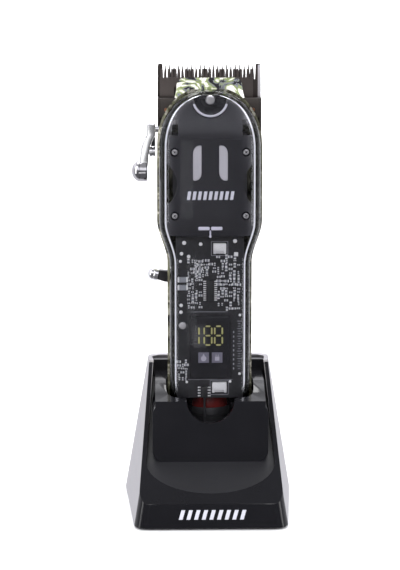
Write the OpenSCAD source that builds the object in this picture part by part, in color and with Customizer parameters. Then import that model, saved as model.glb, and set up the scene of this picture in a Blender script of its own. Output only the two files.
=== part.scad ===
// Cordless barber's hair clipper with a clear front cover, standing in its charging stand.
// Origin: centre of the stand's base on the table. +Z up, display towards -Y, taper lever on -X.

/* [Stand] */
// Height of the stand's back rim
stand_h = 66; // [64:1:70]
// Depth of the stand on the table
stand_d = 82; // [80:1:88]
// Width of the stand at its back, on the table
stand_w = 78; // [76:1:84]
// Thickness of the silver outer shell
stand_wall = 2.0; // [1.6:0.1:2.4]

/* [Clipper body] */
// Width of the handle
handle_w = 38.2; // [37:0.2:39]
// Width of the head
head_w = 47.4; // [47:0.2:48.4]
// Thickness of the metal back shell
shell_t = 1.6; // [1.4:0.1:1.8]
// Thickness of the clear front cover
cover_t = 1.5; // [1.2:0.1:1.8]

/* [Blades] */
// Width of the fixed blade
blade_w = 46.7; // [46:0.1:47]
// Number of teeth on the fixed blade
fixed_teeth = 21; // [17:1:23]
// Number of teeth on the moving blade
moving_teeth = 27; // [21:1:29]
// Side-to-side stroke of the moving blade
stroke = 2.4; // [2:0.1:2.6]

/* [Taper lever] */
// Swing of the lever from fully open to fully closed, degrees
lever_swing = 55; // [40:5:60]
// Travel of the moving blade from open to closed
taper_travel = 1.9; // [1.4:0.1:1.9]

/* [Hidden] */

$fn = 48;

// Heights along the clipper
bottom_z = 28;          // underside of the docked clipper
bottom_r = 7;           // rounding of its lower end
waist_lo = 115;         // handle starts to widen
waist_hi = 134;         // head has its full width
arch_z = 166;           // cover's arch starts
arch_h = 28;            // height of the arch
arch_top = arch_z + arch_h * 0.965;
arch_n = 2.25;          // roundness of the arch
part_y = -2;            // parting plane of cover and shell
screw_z = 189.2;        // screw that holds the cover
cover_step = 0.9;       // cover is this much narrower than the shell, a side
front_handle = 15;      // cover's depth in front of the parting plane
front_head = 17;
back_handle = 19;       // shell's depth behind the parting plane
back_head = 13.4;

// Head block and blades
seat_y = 9;             // front face of the fixed blade
blade_t = 2.6;          // thickness of the fixed blade
tip_z = 203.5;          // tips of the fixed blade's teeth
root_z = 196.4;         // roots of the fixed blade's teeth
blade_z = 179.4;        // rear edge of the fixed blade
moving_y0 = 5.7;        // moving blade's front face
moving_y1 = seat_y - 0.1;
block_top = 188.8;      // top of the head's flanks
wall_y0 = 0.6;          // head's front wall
wall_y1 = 2.8;
flank_x = 22.4;         // inside of the head's flanks
rim_y = -0.2;           // back of the shell's arched rim
boss_x = 9.5;           // blade screws
boss_z = 189;
lug = 2.6;              // width of the fixed blade's corner teeth

rear_x = 11.2;          // screws through the back
rear_z = [46, 122];
anchor_x = 19.6;        // ends of the blade's tension springs
anchor_z = 183.6;

// Drive
throw = stroke / 2;
motor_r = 10.5;
motor_y = -1.2;         // the shaft lies a little towards the cover
motor_z0 = 133;
motor_z1 = 171;
pin_gap = 0.4;          // the drive pin stops this short of the fork
pin_top = 180.6;

// Lever
hub_y = 1.2;
hub_z = 174.9;
knob_z = 155.9;
knob_r = 4.75;
shaft_r = 1.6;
crank_r = taper_travel / (sin(lever_swing - 30) + sin(30));
crank_z = hub_z - crank_r * sin(30);

// Switch
switch_y = 3.4;
switch_z = 106.6;
pivot_x = -14.8;
switch_tilt = 11;
slot_h = 8.4;
slot_w = 5.4;

// Circuit board
board_y0 = -10.2;       // component side
board_y1 = -8.6;
board_z0 = 53.7;
board_z1 = 127.6;
board_hw = 15;

// Battery
cell_r = 9.2;
cell_y = 3.4;
cell_z0 = 38;
cell_z1 = 103;

// Stand profile
side_lean = 0.1585;     // the sides lean in this much per mm of height
plan_taper = 0.053;     // the plan narrows this much per mm towards the front
stand_z0 = 1.0;
lip_z = 12;             // height of the front lip
ramp_y1 = 16;           // where the ramp meets the top
rim_t = 1;              // thickness of the flange that covers the housing's rim
front_y = -stand_d / 2;
back_y = stand_d / 2;
back_lean = 10;         // the back leans forward this much over the height
pocket_gap = 0.8;       // room round the docked clipper
pocket_floor = 27.2;
pocket_front = -21.6;
pocket_hw = 24.8;
pocket_front_z = 54.4;
pocket_back_z = 60;
pin_x = 6;
foot_x = 27;
foot_y = 29.5;
base_x = 27;            // screws of the base plate
base_y = 18;
contact_y = 0;

function smooth(t) = let (u = min(1, max(0, t))) u * u * (3 - 2 * u);
function power(v, p) = (v < 0 ? -1 : 1) * pow(abs(v), p);
function end_loss(z, g) = let (s = (bottom_z - g) + bottom_r)
    z >= s ? 0 : bottom_r - sqrt(max(0, bottom_r * bottom_r - pow(s - z, 2)));
function arch(z, g) = z <= arch_z ? 1 : pow(max(0.004, 1 - pow((z - arch_z) / (arch_h + g), arch_n)),
    1 / arch_n);
function half_w(z, g) = (handle_w / 2 + (head_w - handle_w) / 2
    * smooth((z - waist_lo) / (waist_hi - waist_lo)) + g)
    * arch(z, g) - end_loss(z, g);
function front_d(z, g) = front_handle + (front_head - front_handle) * smooth((z - 118) / 22)
    - 7 * smooth((z - 172) / 26) + g - end_loss(z, g);
function back_d(z, g) = back_handle - (back_handle - back_head) * smooth((z - 140) / 36)
    + g - end_loss(z, g);

// One cross-section: boxy in front of the parting plane, rounder behind it
function body_ring(z, g, n = 56) = [for (i = [0:n - 1]) let (a = 360 * (i + 0.5) / n, front = sin(a) < 0,
    e = front ? 2 / 4.2 : 2 / 2.7, d = front ? front_d(z, g) : back_d(z, g))
    [half_w(z, g) * power(cos(a), e), part_y + d * power(sin(a), e), z]];

// A closed solid through a list of rings, lowest first, each anticlockwise from above
module skin(rings) {
    n = len(rings[0]);
    m = len(rings);
    polyhedron(
        points = [for (r = rings) each r],
        faces = concat(
            [[for (i = [0:n - 1]) i]], [[for (i = [n - 1:-1:0]) (m - 1) * n + i]],
            [for (j = [0:m - 2]) for (i = [0:n - 1]) let (k = (i + 1) % n) [j * n + i, (j + 1) * n + i,
                (j + 1) * n + k]],
            [for (j = [0:m - 2]) for (i = [0:n - 1]) let (k = (i + 1) % n) [j * n + i, (j + 1) * n + k,
                j * n + k]]));
}

// Heights of the rings: close together at the rounded end, the waist and the arch
function levels(g, top) = concat(
    [for (t = [0, 0.12, 0.3, 0.6, 1]) bottom_z - g + bottom_r * t],
    [waist_lo, 118, 122, 127, 131, waist_hi, 150, arch_z],
    [for (t = [0.25, 0.45, 0.62, 0.76, 0.87, 0.94]) if (arch_z + arch_h * t < top - 0.3) arch_z
        + arch_h * t], [top]);
module body_solid(g, top = arch_top) { skin([for (z = levels(g, top)) body_ring(z, g)]); }

module front_half() { translate([-60, part_y - 60, 0]) cube([120, 60, 240]); }
module back_half() { translate([-60, part_y, 0]) cube([120, 60, 240]); }

module along_y(y0, y1) { translate([0, y1, 0]) rotate([90, 0, 0]) linear_extrude(y1 - y0) children(); }
module along_x(x0, x1) { translate([x0, 0, 0]) rotate([90, 0, 90]) linear_extrude(x1 - x0) children(); }
module rounded(w, h, r) {
    translate([-w / 2 + r, -h / 2]) square([w - 2 * r, h]);
    translate([-w / 2, -h / 2 + r]) square([w, h - 2 * r]);
    for (x = [-1, 1], y = [-1, 1]) translate([x * (w / 2 - r), y * (h / 2 - r)]) circle(r);
}
module box(x0, x1, y0, y1, z0, z1) { translate([x0, y0, z0]) cube([x1 - x0, y1 - y0, z1 - z0]); }

module cross(len, w) { square([len, w], center = true); square([w, len], center = true); }

// ---------- stand ----------

// Plan outline of the stand at a height, moved in by g, with round corners
function stand_hw(y, z) = stand_w / 2 + plan_taper * (y - back_y) - side_lean * z;
function stand_back(z) = back_y - back_lean * z / stand_h;
function corner(cx, cy, r, a0) = [for (i = [0:5]) [cx + r * cos(a0 + 18 * i), cy + r * sin(a0 + 18 * i)]];
function stand_ring(z, g, r = 6) = let (yf = front_y + 0.045 * z + g, yb = stand_back(z) - g,
    wf = stand_hw(yf, z) - g, wb = stand_hw(yb, z) - g, q = r - g * 0.6)
    [for (p = concat(corner(wf - q, yf + q, q, -90), corner(wb - q, yb - q, q, 0),
        corner(-wb + q, yb - q, q, 90), corner(-wf + q, yf + q, q, 180))) [p[0], p[1], z]];
module stand_solid(g, z0, z1) { skin([stand_ring(z0, g), stand_ring(z1, g)]); }

// Everything below the ramp that runs from the front lip to the back rim, lowered by d
module under_ramp(d = 0) {
    along_x(-60, 60) polygon([[front_y - 5, 0], [front_y - 5, lip_z - d - 1.5], [front_y + 1, lip_z - d],
        [ramp_y1, stand_h - d], [60, stand_h - d], [60, 0]]);
}
// The flange of the black moulding, which lies over the housing's sloped rim, grown by d
module fascia_flange(d = 0) {
    intersection() {
        difference() {
            under_ramp(-d);
            under_ramp(rim_t + d);
        }
        box(-60, 60, front_y - 5, ramp_y1 - 1 + d, 0, 80);
    }
}
// Outline of the dished recess, seen from above
module recess_plan() {
    polygon(concat([for (i = [0:24]) [29 * cos(180 + 7.5 * i), -24 + 12.1 * sin(180 + 7.5 * i)]],
        [[25.4, 22], [-25.4, 22]]));
}
module recess() {
    intersection() {
        translate([0, 0, 5]) linear_extrude(80) recess_plan();
        along_x(-40, 40) polygon([[-37, 13.7], [-22, 26.2], [22, 57.5], [22, 90], [-60, 90], [-60, 15]]);
    }
}
// The raised block round the pocket
module pocket_block() {
    intersection() {
        along_y(pocket_front, 24) {
            translate([0, 40]) rounded(2 * pocket_hw + 2.6, 28, 6);
            translate([-pocket_hw, 45]) square([2 * pocket_hw, 30]);
        }
        along_x(-40, 40) polygon([[pocket_front, 20], [pocket_front + 0.6, pocket_front_z],
            [-12, pocket_front_z + 1.6], [-2, pocket_back_z], [24, pocket_back_z], [24, 20]]);
    }
}
module pocket() { skin([for (z = [pocket_floor, 28.2, 30, 33, 36, 75]) body_ring(z, pocket_gap)]); }
module pocket_notch() {
    along_y(-30, -10) {
        translate([0, pocket_front_z + 0.4]) circle(10.7);
        translate([-10.7, pocket_front_z + 0.4]) square([21.4, 6]);
    }
}

module stand_shell() {
    color("silver") difference() {
        intersection() {
            stand_solid(0, stand_z0, stand_h);
            under_ramp(0);
        }
        stand_solid(stand_wall, 0, stand_h + 1);
        box(-60, 60, front_y - 5, front_y + 6, 0, 80);
        fascia_flange(0.05);
        // opening for the inlet
        box(-7, 7, 30, 50, 8, 15.6);
    }
}
module cradle_chambers() {
    // room for the board and the weight under the pocket
    difference() {
        intersection() {
            stand_solid(stand_wall + 2.6, 0, 24.6);
            along_x(-60, 60) polygon([[-60, 0], [-60, 10], [-37, 11.6], [-22, 22.4], [-16, 24.6],
                [60, 24.6], [60, 0]]);
        }
        for (x = [-1, 1], y = [-1, 1]) translate([x * base_x, y * base_y, 3]) cylinder(r = 3.2, h = 30);
        for (x = [-13, 13], y = [-6, 28]) translate([x, y, 19]) cylinder(r = 1.8, h = 10);
    }
    // space between the pocket and the back wall
    box(-18, 18, 20.5, 26.5, 20, 58);
}
module stand_cradle() {
    color([0.1, 0.1, 0.12]) difference() {
        union() {
            difference() {
                union() {
                    intersection() {
                        stand_solid(stand_wall + 0.05, 3.2, stand_h - 1.2);
                        under_ramp(rim_t - 0.1);
                    }
                    intersection() {
                        stand_solid(0, stand_z0, 40);
                        box(-60, 60, front_y - 5, front_y + 5.95, 0, 80);
                        under_ramp(rim_t - 0.1);
                    }
                    intersection() {
                        stand_solid(0, stand_z0, stand_h);
                        fascia_flange();
                    }
                }
                recess();
            }
            pocket_block();
        }
        difference() {
            pocket();
            for (x = [-1, 1]) box(x * 10.4 - 1, x * 10.4 + 1, -3, 3, 20, bottom_z);
        }
        pocket_notch();
        cradle_chambers();
        box(-60, 60, front_y + 6, 60, 0, 3.2);
        for (x = [-1, 1], y = [-1, 1]) translate([x * base_x, y * base_y, 0]) cylinder(r = 1.1, h = 12);
        for (x = [-1, 1]) translate([x * pin_x, contact_y, 20]) cylinder(r = 2.3, h = 12);
        box(-6.6, 6.6, 30, 50, 7.4, 16.2);
    }
}
module stand_base_plate() {
    color([0.13, 0.13, 0.14]) difference() {
        intersection() { stand_solid(stand_wall + 0.1, stand_z0, 3.1); box(-60, 60, front_y + 6.1, 60,
            0, 10); }
        for (x = [-1, 1], y = [-1, 1]) {
            translate([x * foot_x, y * foot_y, 0]) cylinder(r = 5, h = 1.8);
            translate([x * base_x, y * base_y, 0]) cylinder(r = 1.5, h = 5);
            translate([x * base_x, y * base_y, 0]) cylinder(r = 2.9, h = 2.2);
        }
        for (i = [-3:3]) box(i * 4 - 0.8, i * 4 + 0.8, -6, 6, 0, 5);
    }
}
module stand_weight() {
    color("dimgray") difference() {
        box(-21, 21, -30, -12, 3.2, 9.4);
        for (x = [-1, 1]) translate([x * 15, -21, 0]) cylinder(r = 2, h = 20);
    }
}
module stand_feet() {
    color([0.16, 0.16, 0.17]) for (x = [-1, 1], y = [-1, 1]) translate([x * foot_x, y * foot_y, 0]) {
        cylinder(r = 4.6, h = 0.6);
        translate([0, 0, 0.6]) cylinder(r = 4.8, h = 1.2);
    }
}
module screw_up(r, head_r, head_h, len) {
    difference() {
        union() { cylinder(r = head_r, h = head_h); cylinder(r = r, h = len); }
        translate([-head_r * 0.6, -0.3, -0.1]) cube([head_r * 1.2, 0.6, head_h * 0.6]);
        translate([-0.3, -head_r * 0.6, -0.1]) cube([0.6, head_r * 1.2, head_h * 0.6]);
    }
}
module stand_screws() {
    color("gray") for (x = [-1, 1], y = [-1, 1]) translate([x * base_x, y * base_y,
        0.7]) screw_up(1.05, 2.6, 1.4, 9);
}
module stand_charge_board() {
    color("darkgreen") difference() {
        box(-16, 16, -9, 32, 17.4, 19);
        for (x = [-1, 1]) translate([x * pin_x, contact_y, 10]) cylinder(r = 1.1, h = 12);
    }
    color("dimgray") {
        box(-12, -6, 12, 18, 19, 21);
        box(2, 10, 14, 20, 19, 20.4);
        box(-10, -7, 24, 27, 19, 20);
    }
    // barrels of the spring pins
    color("gold") for (x = [-1, 1]) translate([x * pin_x, contact_y, 19]) difference() {
        cylinder(r = 2.1, h = 7.6);
        translate([0, 0, 0.8]) cylinder(r = 1.55, h = 8);
    }
}
module stand_inlet() {
    color([0.2, 0.2, 0.22]) difference() {
        along_y(32, stand_back(12)) translate([0, 11.8]) rounded(13, 7.2, 1.5);
        along_y(34, 60) translate([0, 11.8]) rounded(9, 3.3, 1.6);
    }
    color("silver") along_y(34, 39) translate([0, 11.8]) rounded(6.6, 0.8, 0.3);
}
module charge_pin(side) {
    color("gold") translate([side * pin_x, contact_y, 0]) {
        translate([0, 0, 22]) cylinder(r = 1.5, h = 4.2);
        translate([0, 0, 26.2]) cylinder(r = 1.1, h = 2.3);
        translate([0, 0, 28.5]) sphere(r = 1.1, $fn = 32);
    }
}
module charge_pin_left() { charge_pin(-1); }
module charge_pin_right() { charge_pin(1); }

// ---------- clipper shells ----------

module back_shell() {
    color([0.5, 0.48, 0.42]) difference() {
        union() {
            difference() {
                intersection() { body_solid(0); back_half(); }
                body_solid(-shell_t, arch_top - shell_t);
                // behind the blade's rear edge the shell's back ends, and only the arch's rim goes on
                box(-60, 60, wall_y1, 60, blade_z - 0.3, 240);
                box(-60, 60, rim_y, 60, 184.6, 240);
                // room for the taper carriage
                box(-20.7, 20.7, wall_y1, 5.9, 172, 240);
            }
            // front wall and flanks of the head
            difference() {
                box(-head_w / 2 + 0.35, head_w / 2 - 0.35, wall_y0, seat_y, arch_z + 6, block_top);
                box(-flank_x, flank_x, wall_y1, 20, 160, 240);
                box(-flank_x, flank_x, -5, 20, 160, 180);
                box(-6.5, 6.5, -5, wall_y1 + 1, 160, 240);
            }
            for (x = [-1, 1]) {
                box(x > 0 ? 6.5 : -13, x > 0 ? 13 : -6.5, wall_y0, wall_y1, 180, 190.0);
                along_y(wall_y1 - 0.5, seat_y) translate([x * boss_x, boss_z]) circle(3);
            }
        }
        // bores: blade screws, spring anchors, lever shaft, switch slot, rear screws, contacts
        for (x = [-1, 1]) along_y(wall_y0 - 1, seat_y + 1) translate([x * boss_x, boss_z]) circle(1.2);
        for (x = [-1, 1]) along_y(wall_y0 - 1, wall_y1 + 0.5) translate([x * anchor_x,
            anchor_z]) circle(0.85);
        along_x(-30, -18) translate([hub_y, hub_z]) circle(shaft_r + 0.06);
        box(-24, -12, switch_y - slot_w / 2, switch_y + slot_w / 2, switch_z - slot_h / 2, switch_z
            + slot_h / 2);
        for (x = [-1, 1], z = rear_z) {
            along_y(10, 24) translate([x * rear_x, z]) circle(1.3);
            along_y(13.3, 24) translate([x * rear_x, z]) circle(2.4);
        }
        box(-9, 9, contact_y - 2.6, contact_y + 2.6, 20, 32);
        // vents over the motor
        for (i = [-3:3]) along_y(8, 24) translate([i * 3.4, 150]) rounded(1.5, 14, 0.7);
    }
}
module front_cover() {
    color([0.8, 0.85, 0.9, 0.35]) difference() {
        union() {
            difference() {
                intersection() { body_solid(-cover_step); front_half(); }
                body_solid(-cover_step - cover_t, arch_top - cover_t - 0.3);
            }
            // boss under the cover's screw
            intersection() {
                body_solid(-cover_step - 0.2);
                along_y(-14, -9) translate([0, screw_z]) circle(3.6);
            }
        }
        along_y(-40, 0) translate([0, screw_z]) circle(1.1);
        along_y(-40, -10.9) translate([0, screw_z]) circle(2.3);
        box(-9, 9, contact_y - 2.6, contact_y + 2.6, 20, 32);
    }
}
module nose_cover() {
    color([0.75, 0.76, 0.7]) difference() {
        union() {
            intersection() {
                along_x(-16.3, 16.3) polygon([[rim_y, 185], [rim_y, 190.5], [2.0, 193.9],
                    [5.2, 197.7], [5.2, 189], [wall_y0, 189],
                    [wall_y0, 185]]);
                along_y(-5, 10) { translate([0, 188]) rounded(32.6, 19.4, 4); translate([-16.3,
                    180]) square([32.6, 10]); }
            }
            along_y(-8.8, rim_y) translate([0, screw_z]) circle(1.9);
        }
        // hollow behind the skin, open towards the blades
        along_x(-15, 15) polygon([[wall_y0, 180], [wall_y0, 190.3], [2.4, 192.7], [5.3, 196],
            [9, 196], [9, 180]]);
        along_y(-20, 0.4) translate([0, screw_z]) circle(1.0);
    }
}
module cover_screw() {
    color("silver") difference() {
        union() {
            along_y(-12.3, -10.9) translate([0, screw_z]) circle(2.1);
            along_y(-10.9, 0.2) translate([0, screw_z]) circle(0.95);
        }
        along_y(-13, -11.7) translate([0, screw_z]) cross(2.8, 0.55);
    }
}

// ---------- panel under the cover ----------

// The panel is a skin that follows the inside of the cover
panel_g = -(cover_step + cover_t + 0.5);
panel_t = 1.4;
panel_z0 = 128.4;
screws_z = [137.7, 166.3];
screws_x = 15.9;
head_y = -14.7;
function panel_y(z) = part_y - front_d(z, panel_g);
module window(side) {
    x = side > 0 ? 3.9 : -7.7;
    translate([x, 153.6]) intersection() {
        square([3.8, 15.8]);
        union() {
            translate([side > 0 ? 0.8 : 3.0, 15.0]) circle(0.79);
            translate([1.9, 7.9]) rounded(3.8, 15.8, 1.4);
        }
    }
}
module inner_panel() {
    color([0.22, 0.22, 0.24]) difference() {
        union() {
            difference() {
                intersection() { body_solid(panel_g, 191.4); box(-40, 40, -30, -9.6, panel_z0, 190); }
                body_solid(panel_g - panel_t, 192);
            }
            for (x = [-1, 1], z = screws_z) along_y(panel_y(z) + 1.9, -9) translate([x * screws_x,
                z]) circle(2.2);
        }
        along_y(-40, 0) {
            translate([0, screw_z + 0.6]) circle(7.7);
            window(-1);
            window(1);
            translate([0, 132]) rounded(11, 1.7, 0.6);
            translate([0, 129.8]) rounded(1.6, 4, 0.6);
            for (x = [-1, 1], z = screws_z) translate([x * screws_x, z]) circle(0.8);
        }
        for (x = [-1, 1], z = screws_z) along_y(-40, head_y + 0.8) translate([x * screws_x, z]) circle(1.3);
        along_y(-40, panel_y(147) + 0.5) badge_outline();
    }
}
module panel_screws() {
    color("silver") for (x = [-1, 1], z = screws_z) difference() {
        union() {
            along_y(head_y, head_y + 0.8) translate([x * screws_x, z]) circle(1.25);
            along_y(head_y + 0.8, -9.6) translate([x * screws_x, z]) circle(0.75);
        }
        along_y(-20, head_y + 0.4) translate([x * screws_x, z]) cross(1.5, 0.35);
    }
}
// A plain row of slanted bars
module badge_outline() {
    for (i = [-4:4]) translate([i * 2.4, 147]) polygon([[-0.9, -1.9], [0.5, -1.9], [1.1, 1.9],
        [-0.3, 1.9]]);
}
module panel_badge() {
    color("gainsboro") along_y(panel_y(147) - 0.1, panel_y(147) + 0.5) badge_outline();
}
module light_bar() {
    color("white") {
        along_y(panel_y(131) - 0.05, panel_y(131) + 1.8) translate([0, 132]) rounded(10.8, 1.5, 0.5);
        along_y(panel_y(129) - 0.05, panel_y(129) + 1.8) translate([0, 129.5]) rounded(1.2, 3.4, 0.5);
    }
}

// ---------- drive ----------

module motor_can() {
    translate([0, motor_y, 0]) {
        color("silver") difference() {
            translate([0, 0, motor_z0]) cylinder(r = motor_r, h = motor_z1 - motor_z0);
            translate([0, 0, motor_z1 - 8]) cylinder(r = 1.15, h = 10);
            for (s = [-1, 1]) translate([s * 8, 0, motor_z1 - 5]) cylinder(r = 0.9, h = 6);
        }
        color("dimgray") translate([0, 0, motor_z0 - 1.6]) cylinder(r = 5, h = 1.6);
    }
}
module motor_bracket() {
    color([0.3, 0.3, 0.32]) difference() {
        union() {
            box(-16.6, 16.6, -10.5, 4.6, motor_z1, motor_z1 + 2);
            box(-11, 11, 4.6, 8.4, motor_z1, motor_z1 + 2);
            for (s = [-1, 1]) {
                box(s > 0 ? 14.2 : -16.6, s > 0 ? 16.6 : -14.2, -9, -6.6, 134, motor_z1);
                box(s > 0 ? 14.2 : -16.6, s > 0 ? 16.6 : -14.2, -6.6, 6, 134, 137);
            }
        }
        translate([0, motor_y, 160]) cylinder(r = 3.6, h = 20);
        for (s = [-1, 1]) translate([s * 8, motor_y, 160]) cylinder(r = 1.1, h = 20);
    }
}
module motor_screws() {
    color("silver") for (s = [-1, 1]) translate([s * 8, motor_y, motor_z1 + 3]) mirror([0, 0,
        1]) screw_up(0.85, 1.8, 1, 5.5);
}
module motor_leads() {
    for (s = [-1, 1]) color(s > 0 ? "red" : "black") {
        translate([s * 7.6, 2, 122]) cylinder(r = 0.7, h = motor_z0 - 122);
        translate([s * 7.6, 2, 122]) rotate([90, 0, 0]) cylinder(r = 0.7, h = 2 - board_y1);
        translate([s * 7.6, 2, 122]) sphere(r = 0.7, $fn = 24);
    }
}
module motor_rotor() {
    color("lightgray") translate([0, motor_y, 0]) {
        translate([0, 0, motor_z1 - 7.6]) cylinder(r = 1.05, h = 14.2);
        difference() {
            translate([0, 0, 174.6]) cylinder(r = 3.4, h = 3.2);
            translate([3.0, 0, 174]) cylinder(r = 1.4, h = 6);
        }
        translate([-throw, 0, 177.8]) cylinder(r = 1.1, h = pin_top - 177.8);
    }
}
module drive_fork() {
    z0 = pin_top + pin_gap;
    color("ivory") translate([-throw, 0, 0]) {
        difference() {
            box(-4, 4, motor_y - 3.6, 2.4, z0, z0 + 3);
            box(-1.4, 1.4, motor_y - 2.5, motor_y + 2.5, z0 - 1, z0 + 5);
        }
        // stem and finger that reach the moving blade
        along_x(-2.4, 2.4) polygon([[0.8, z0 + 3], [2.4, z0 + 3], [2.4, 189], [8, 192.6], [8, 196],
            [5.7, 196], [5.4, 195.5],
            [2.4, 192.0], [0.8, 189.8]]);
    }
}

// ---------- blades ----------

// A comb of pointed teeth from x0 to x1, standing on z0 and reaching z1
module comb(x0, x1, count, z0, z1, base, tip) {
    pitch = (x1 - x0) / count;
    for (i = [0:count - 1]) translate([x0 + pitch * (i + 0.5), 0])
        polygon([[-base / 2, z0 - 0.1], [base / 2, z0 - 0.1], [base / 2, z0 + 1.4],
            [tip / 2, z1 - 0.25], [0, z1], [-tip / 2, z1 - 0.25],
            [-base / 2, z0 + 1.4]]);
}
module fixed_blade() {
    hw = blade_w / 2;
    color([0.36, 0.33, 0.32]) difference() {
        intersection() {
            along_y(seat_y, seat_y + blade_t) {
                translate([-hw, blade_z]) square([blade_w, root_z - blade_z]);
                comb(-hw + lug, hw - lug, fixed_teeth, root_z, tip_z, 1.2, 0.3);
                for (s = [-1, 1]) translate([s * (hw - lug / 2), 0]) polygon([[-lug / 2, root_z - 0.1],
                    [lug / 2, root_z - 0.1],
                    [lug / 2 - 0.2, tip_z - 0.4], [lug / 2 - 0.7, tip_z], [-lug / 2 + 0.7, tip_z],
                        [-lug / 2 + 0.2, tip_z - 0.4]]);
            }
            along_x(-30, 30) polygon([[seat_y - 1, 170], [seat_y + blade_t, 170],
                [seat_y + blade_t, root_z - 4],
                [seat_y + 0.9, tip_z + 0.1], [seat_y - 1, tip_z + 0.1]]);
        }
        for (x = [-1, 1]) along_y(seat_y - 1, seat_y + 5) translate([x * boss_x, boss_z]) circle(1.7);
        for (x = [-1, 1]) along_y(seat_y + 1.4, seat_y + 5) translate([x * boss_x, boss_z]) circle(3.1);
    }
}
module blade_screws() {
    color("silver") for (x = [-1, 1]) translate([x * boss_x, seat_y + 2.7, boss_z]) rotate([90, 0,
        0]) screw_up(1.15, 2.8, 1.2, 7.5);
}
module moving_blade() {
    hw = 20.9;
    color([0.42, 0.38, 0.37]) translate([-throw, 0, 0]) difference() {
        along_y(moving_y0, moving_y1) {
            difference() {
                translate([-hw, 181.2]) square([2 * hw, 197.4 - 181.2]);
                translate([-14.6, 170]) square([29.2, 193.4 - 170]);
            }
            comb(-hw, hw, moving_teeth, 197.4, 201.4, 1.2, 0.95);
        }
        box(-2.6, 2.6, 0, 20, 190, 196.9);
        for (s = [-1, 1]) box(s > 0 ? 15 : -19.1, s > 0 ? 19.1 : -15, moving_y0 - 1, moving_y0 + 1.2,
            183.2, 185.0);
    }
}
module taper_carriage() {
    y0 = wall_y1 + 0.3;
    color("lightgray") difference() {
        union() {
            box(-20.2, 20.2, y0, 5.3, 176.6, 183.4);
            for (s = [-1, 1]) {
                box(s > 0 ? 15.2 : -18.8, s > 0 ? 18.8 : -15.2, y0, 5.3, 183.4, 186);
                along_y(5.3, moving_y0 + 0.9) translate([s * 17, 184.1]) circle(0.6);
            }
            // slotted tab that the lever's crank lifts
            box(-18.8, -17.0, 1.0, 5.2, 171.6, 176.6);
        }
        box(-7, 7, 0, 10, 180.4, 200);
        box(-19, -16, 1.7, 4.4, crank_z - 1.05, crank_z + 1.05);
    }
}
module spring_anchors() {
    color([0.72, 0.45, 0.36]) for (s = [-1, 1]) along_y(wall_y0 - 1.0, wall_y1) translate([s
        * anchor_x, anchor_z]) circle(0.8);
}

// ---------- taper lever ----------

// The arm seen from the front: out from the hub, then down in a curve to the knob
module arm_outline() {
    polygon([[-24.3, 177.4], [-27.7, 177.4], [-28.2, 176.9], [-28.2, 172.4], [-29.5, 170.2],
        [-30.8, 166.5], [-31.4, 161.6],
        [-31.4, 158], [-27.8, 158], [-27.6, 161.6], [-27.2, 165], [-26.4, 168.2], [-25.4, 170.8],
            [-24.3, 172.2]]);
}
module taper_lever() {
    color("whitesmoke") {
        difference() {
            along_y(hub_y - 2.6, hub_y + 2.6) arm_outline();
            along_x(-29, -20) translate([hub_y, 164.6]) circle(1.1);
            along_x(-27.1, -20) translate([hub_y, 164.6]) circle(2.35);
        }
        along_x(-24.3, -20.0) translate([hub_y, hub_z]) circle(shaft_r);
        // crank inside the shell
        along_x(-20.0, -19.1) translate([hub_y, hub_z]) circle(2.4);
        along_x(-19.1, -16.8) translate([hub_y + crank_r * cos(30), crank_z]) circle(0.8);
    }
}
module lever_knob() {
    color("silver") difference() {
        union() {
            along_x(-31.6, -27.9) translate([hub_y, knob_z]) circle(knob_r);
            intersection() {
                translate([-29.5, hub_y, knob_z]) sphere(5.5);
                along_x(-40, -31.6) translate([hub_y, knob_z]) circle(knob_r);
            }
        }
        // socket for the arm
        box(-31.45, -27, hub_y - 2.65, hub_y + 2.65, 157.95, 170);
        along_y(-6, 10) translate([-31.8, knob_z - 1.2]) square([3.2, 0.7]);
    }
}
module lever_screw() {
    color("silver") {
        along_x(-27.1, -24.3) translate([hub_y, 164.6]) circle(2.3);
        along_x(-28.8, -27.1) translate([hub_y, 164.6]) circle(1.0);
    }
}
module lever_bumper() {
    color([0.08, 0.08, 0.08]) along_y(hub_y - 1.8, hub_y + 1.8)
        polygon([[-24.4, 171.4], [-25.2, 170.6], [-26.2, 168.1], [-26.4, 167.2], [-24.4, 167.2]]);
}

// ---------- switch ----------

module tilted() {
    translate([pivot_x, switch_y, switch_z]) rotate([0, switch_tilt, 0]) translate([-pivot_x,
        -switch_y, -switch_z]) children();
}
module switch_paddle() {
    color([0.1, 0.1, 0.11]) tilted() difference() {
        union() {
            along_y(switch_y - 2, switch_y + 2)
                polygon([[pivot_x + 1.6, switch_z - 2.2], [pivot_x + 1.6, switch_z + 2.2],
                    [-20, switch_z + 2.5],
                    [-23.7, switch_z + 2.1], [-23.7, switch_z - 2.1], [-20, switch_z - 2.5]]);
            along_y(switch_y - 2, switch_y + 2) translate([pivot_x, switch_z]) circle(2.2);
        }
        along_y(-5, 15) translate([pivot_x, switch_z]) circle(0.85);
    }
}
module switch_cap() {
    color("silver") tilted() difference() {
        union() {
            along_x(-26.2, -23.2) translate([switch_y, switch_z]) circle(2.95);
            intersection() {
                translate([-25.2, switch_y, switch_z]) sphere(3.1);
                along_x(-40, -26.2) translate([switch_y, switch_z]) circle(2.95);
            }
        }
        box(-23.75, -20, switch_y - 2.05, switch_y + 2.05, switch_z - 2.15, switch_z + 2.15);
    }
}
module switch_body() {
    y0 = switch_y - 3.6;
    color([0.2, 0.2, 0.22]) {
        difference() {
            box(-16, -11.9, y0, switch_y + 3.2, 100.5, 112.7);
            box(-18, -12.6, switch_y - 2.3, switch_y + 2.3, 101.5, 111.7);
        }
        along_y(switch_y - 2.9, switch_y + 2.9) translate([pivot_x, switch_z]) circle(0.8);
        box(-14.4, -13.2, board_y1, y0, 101.5, 111.7);
    }
}

// ---------- circuit board ----------

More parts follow.
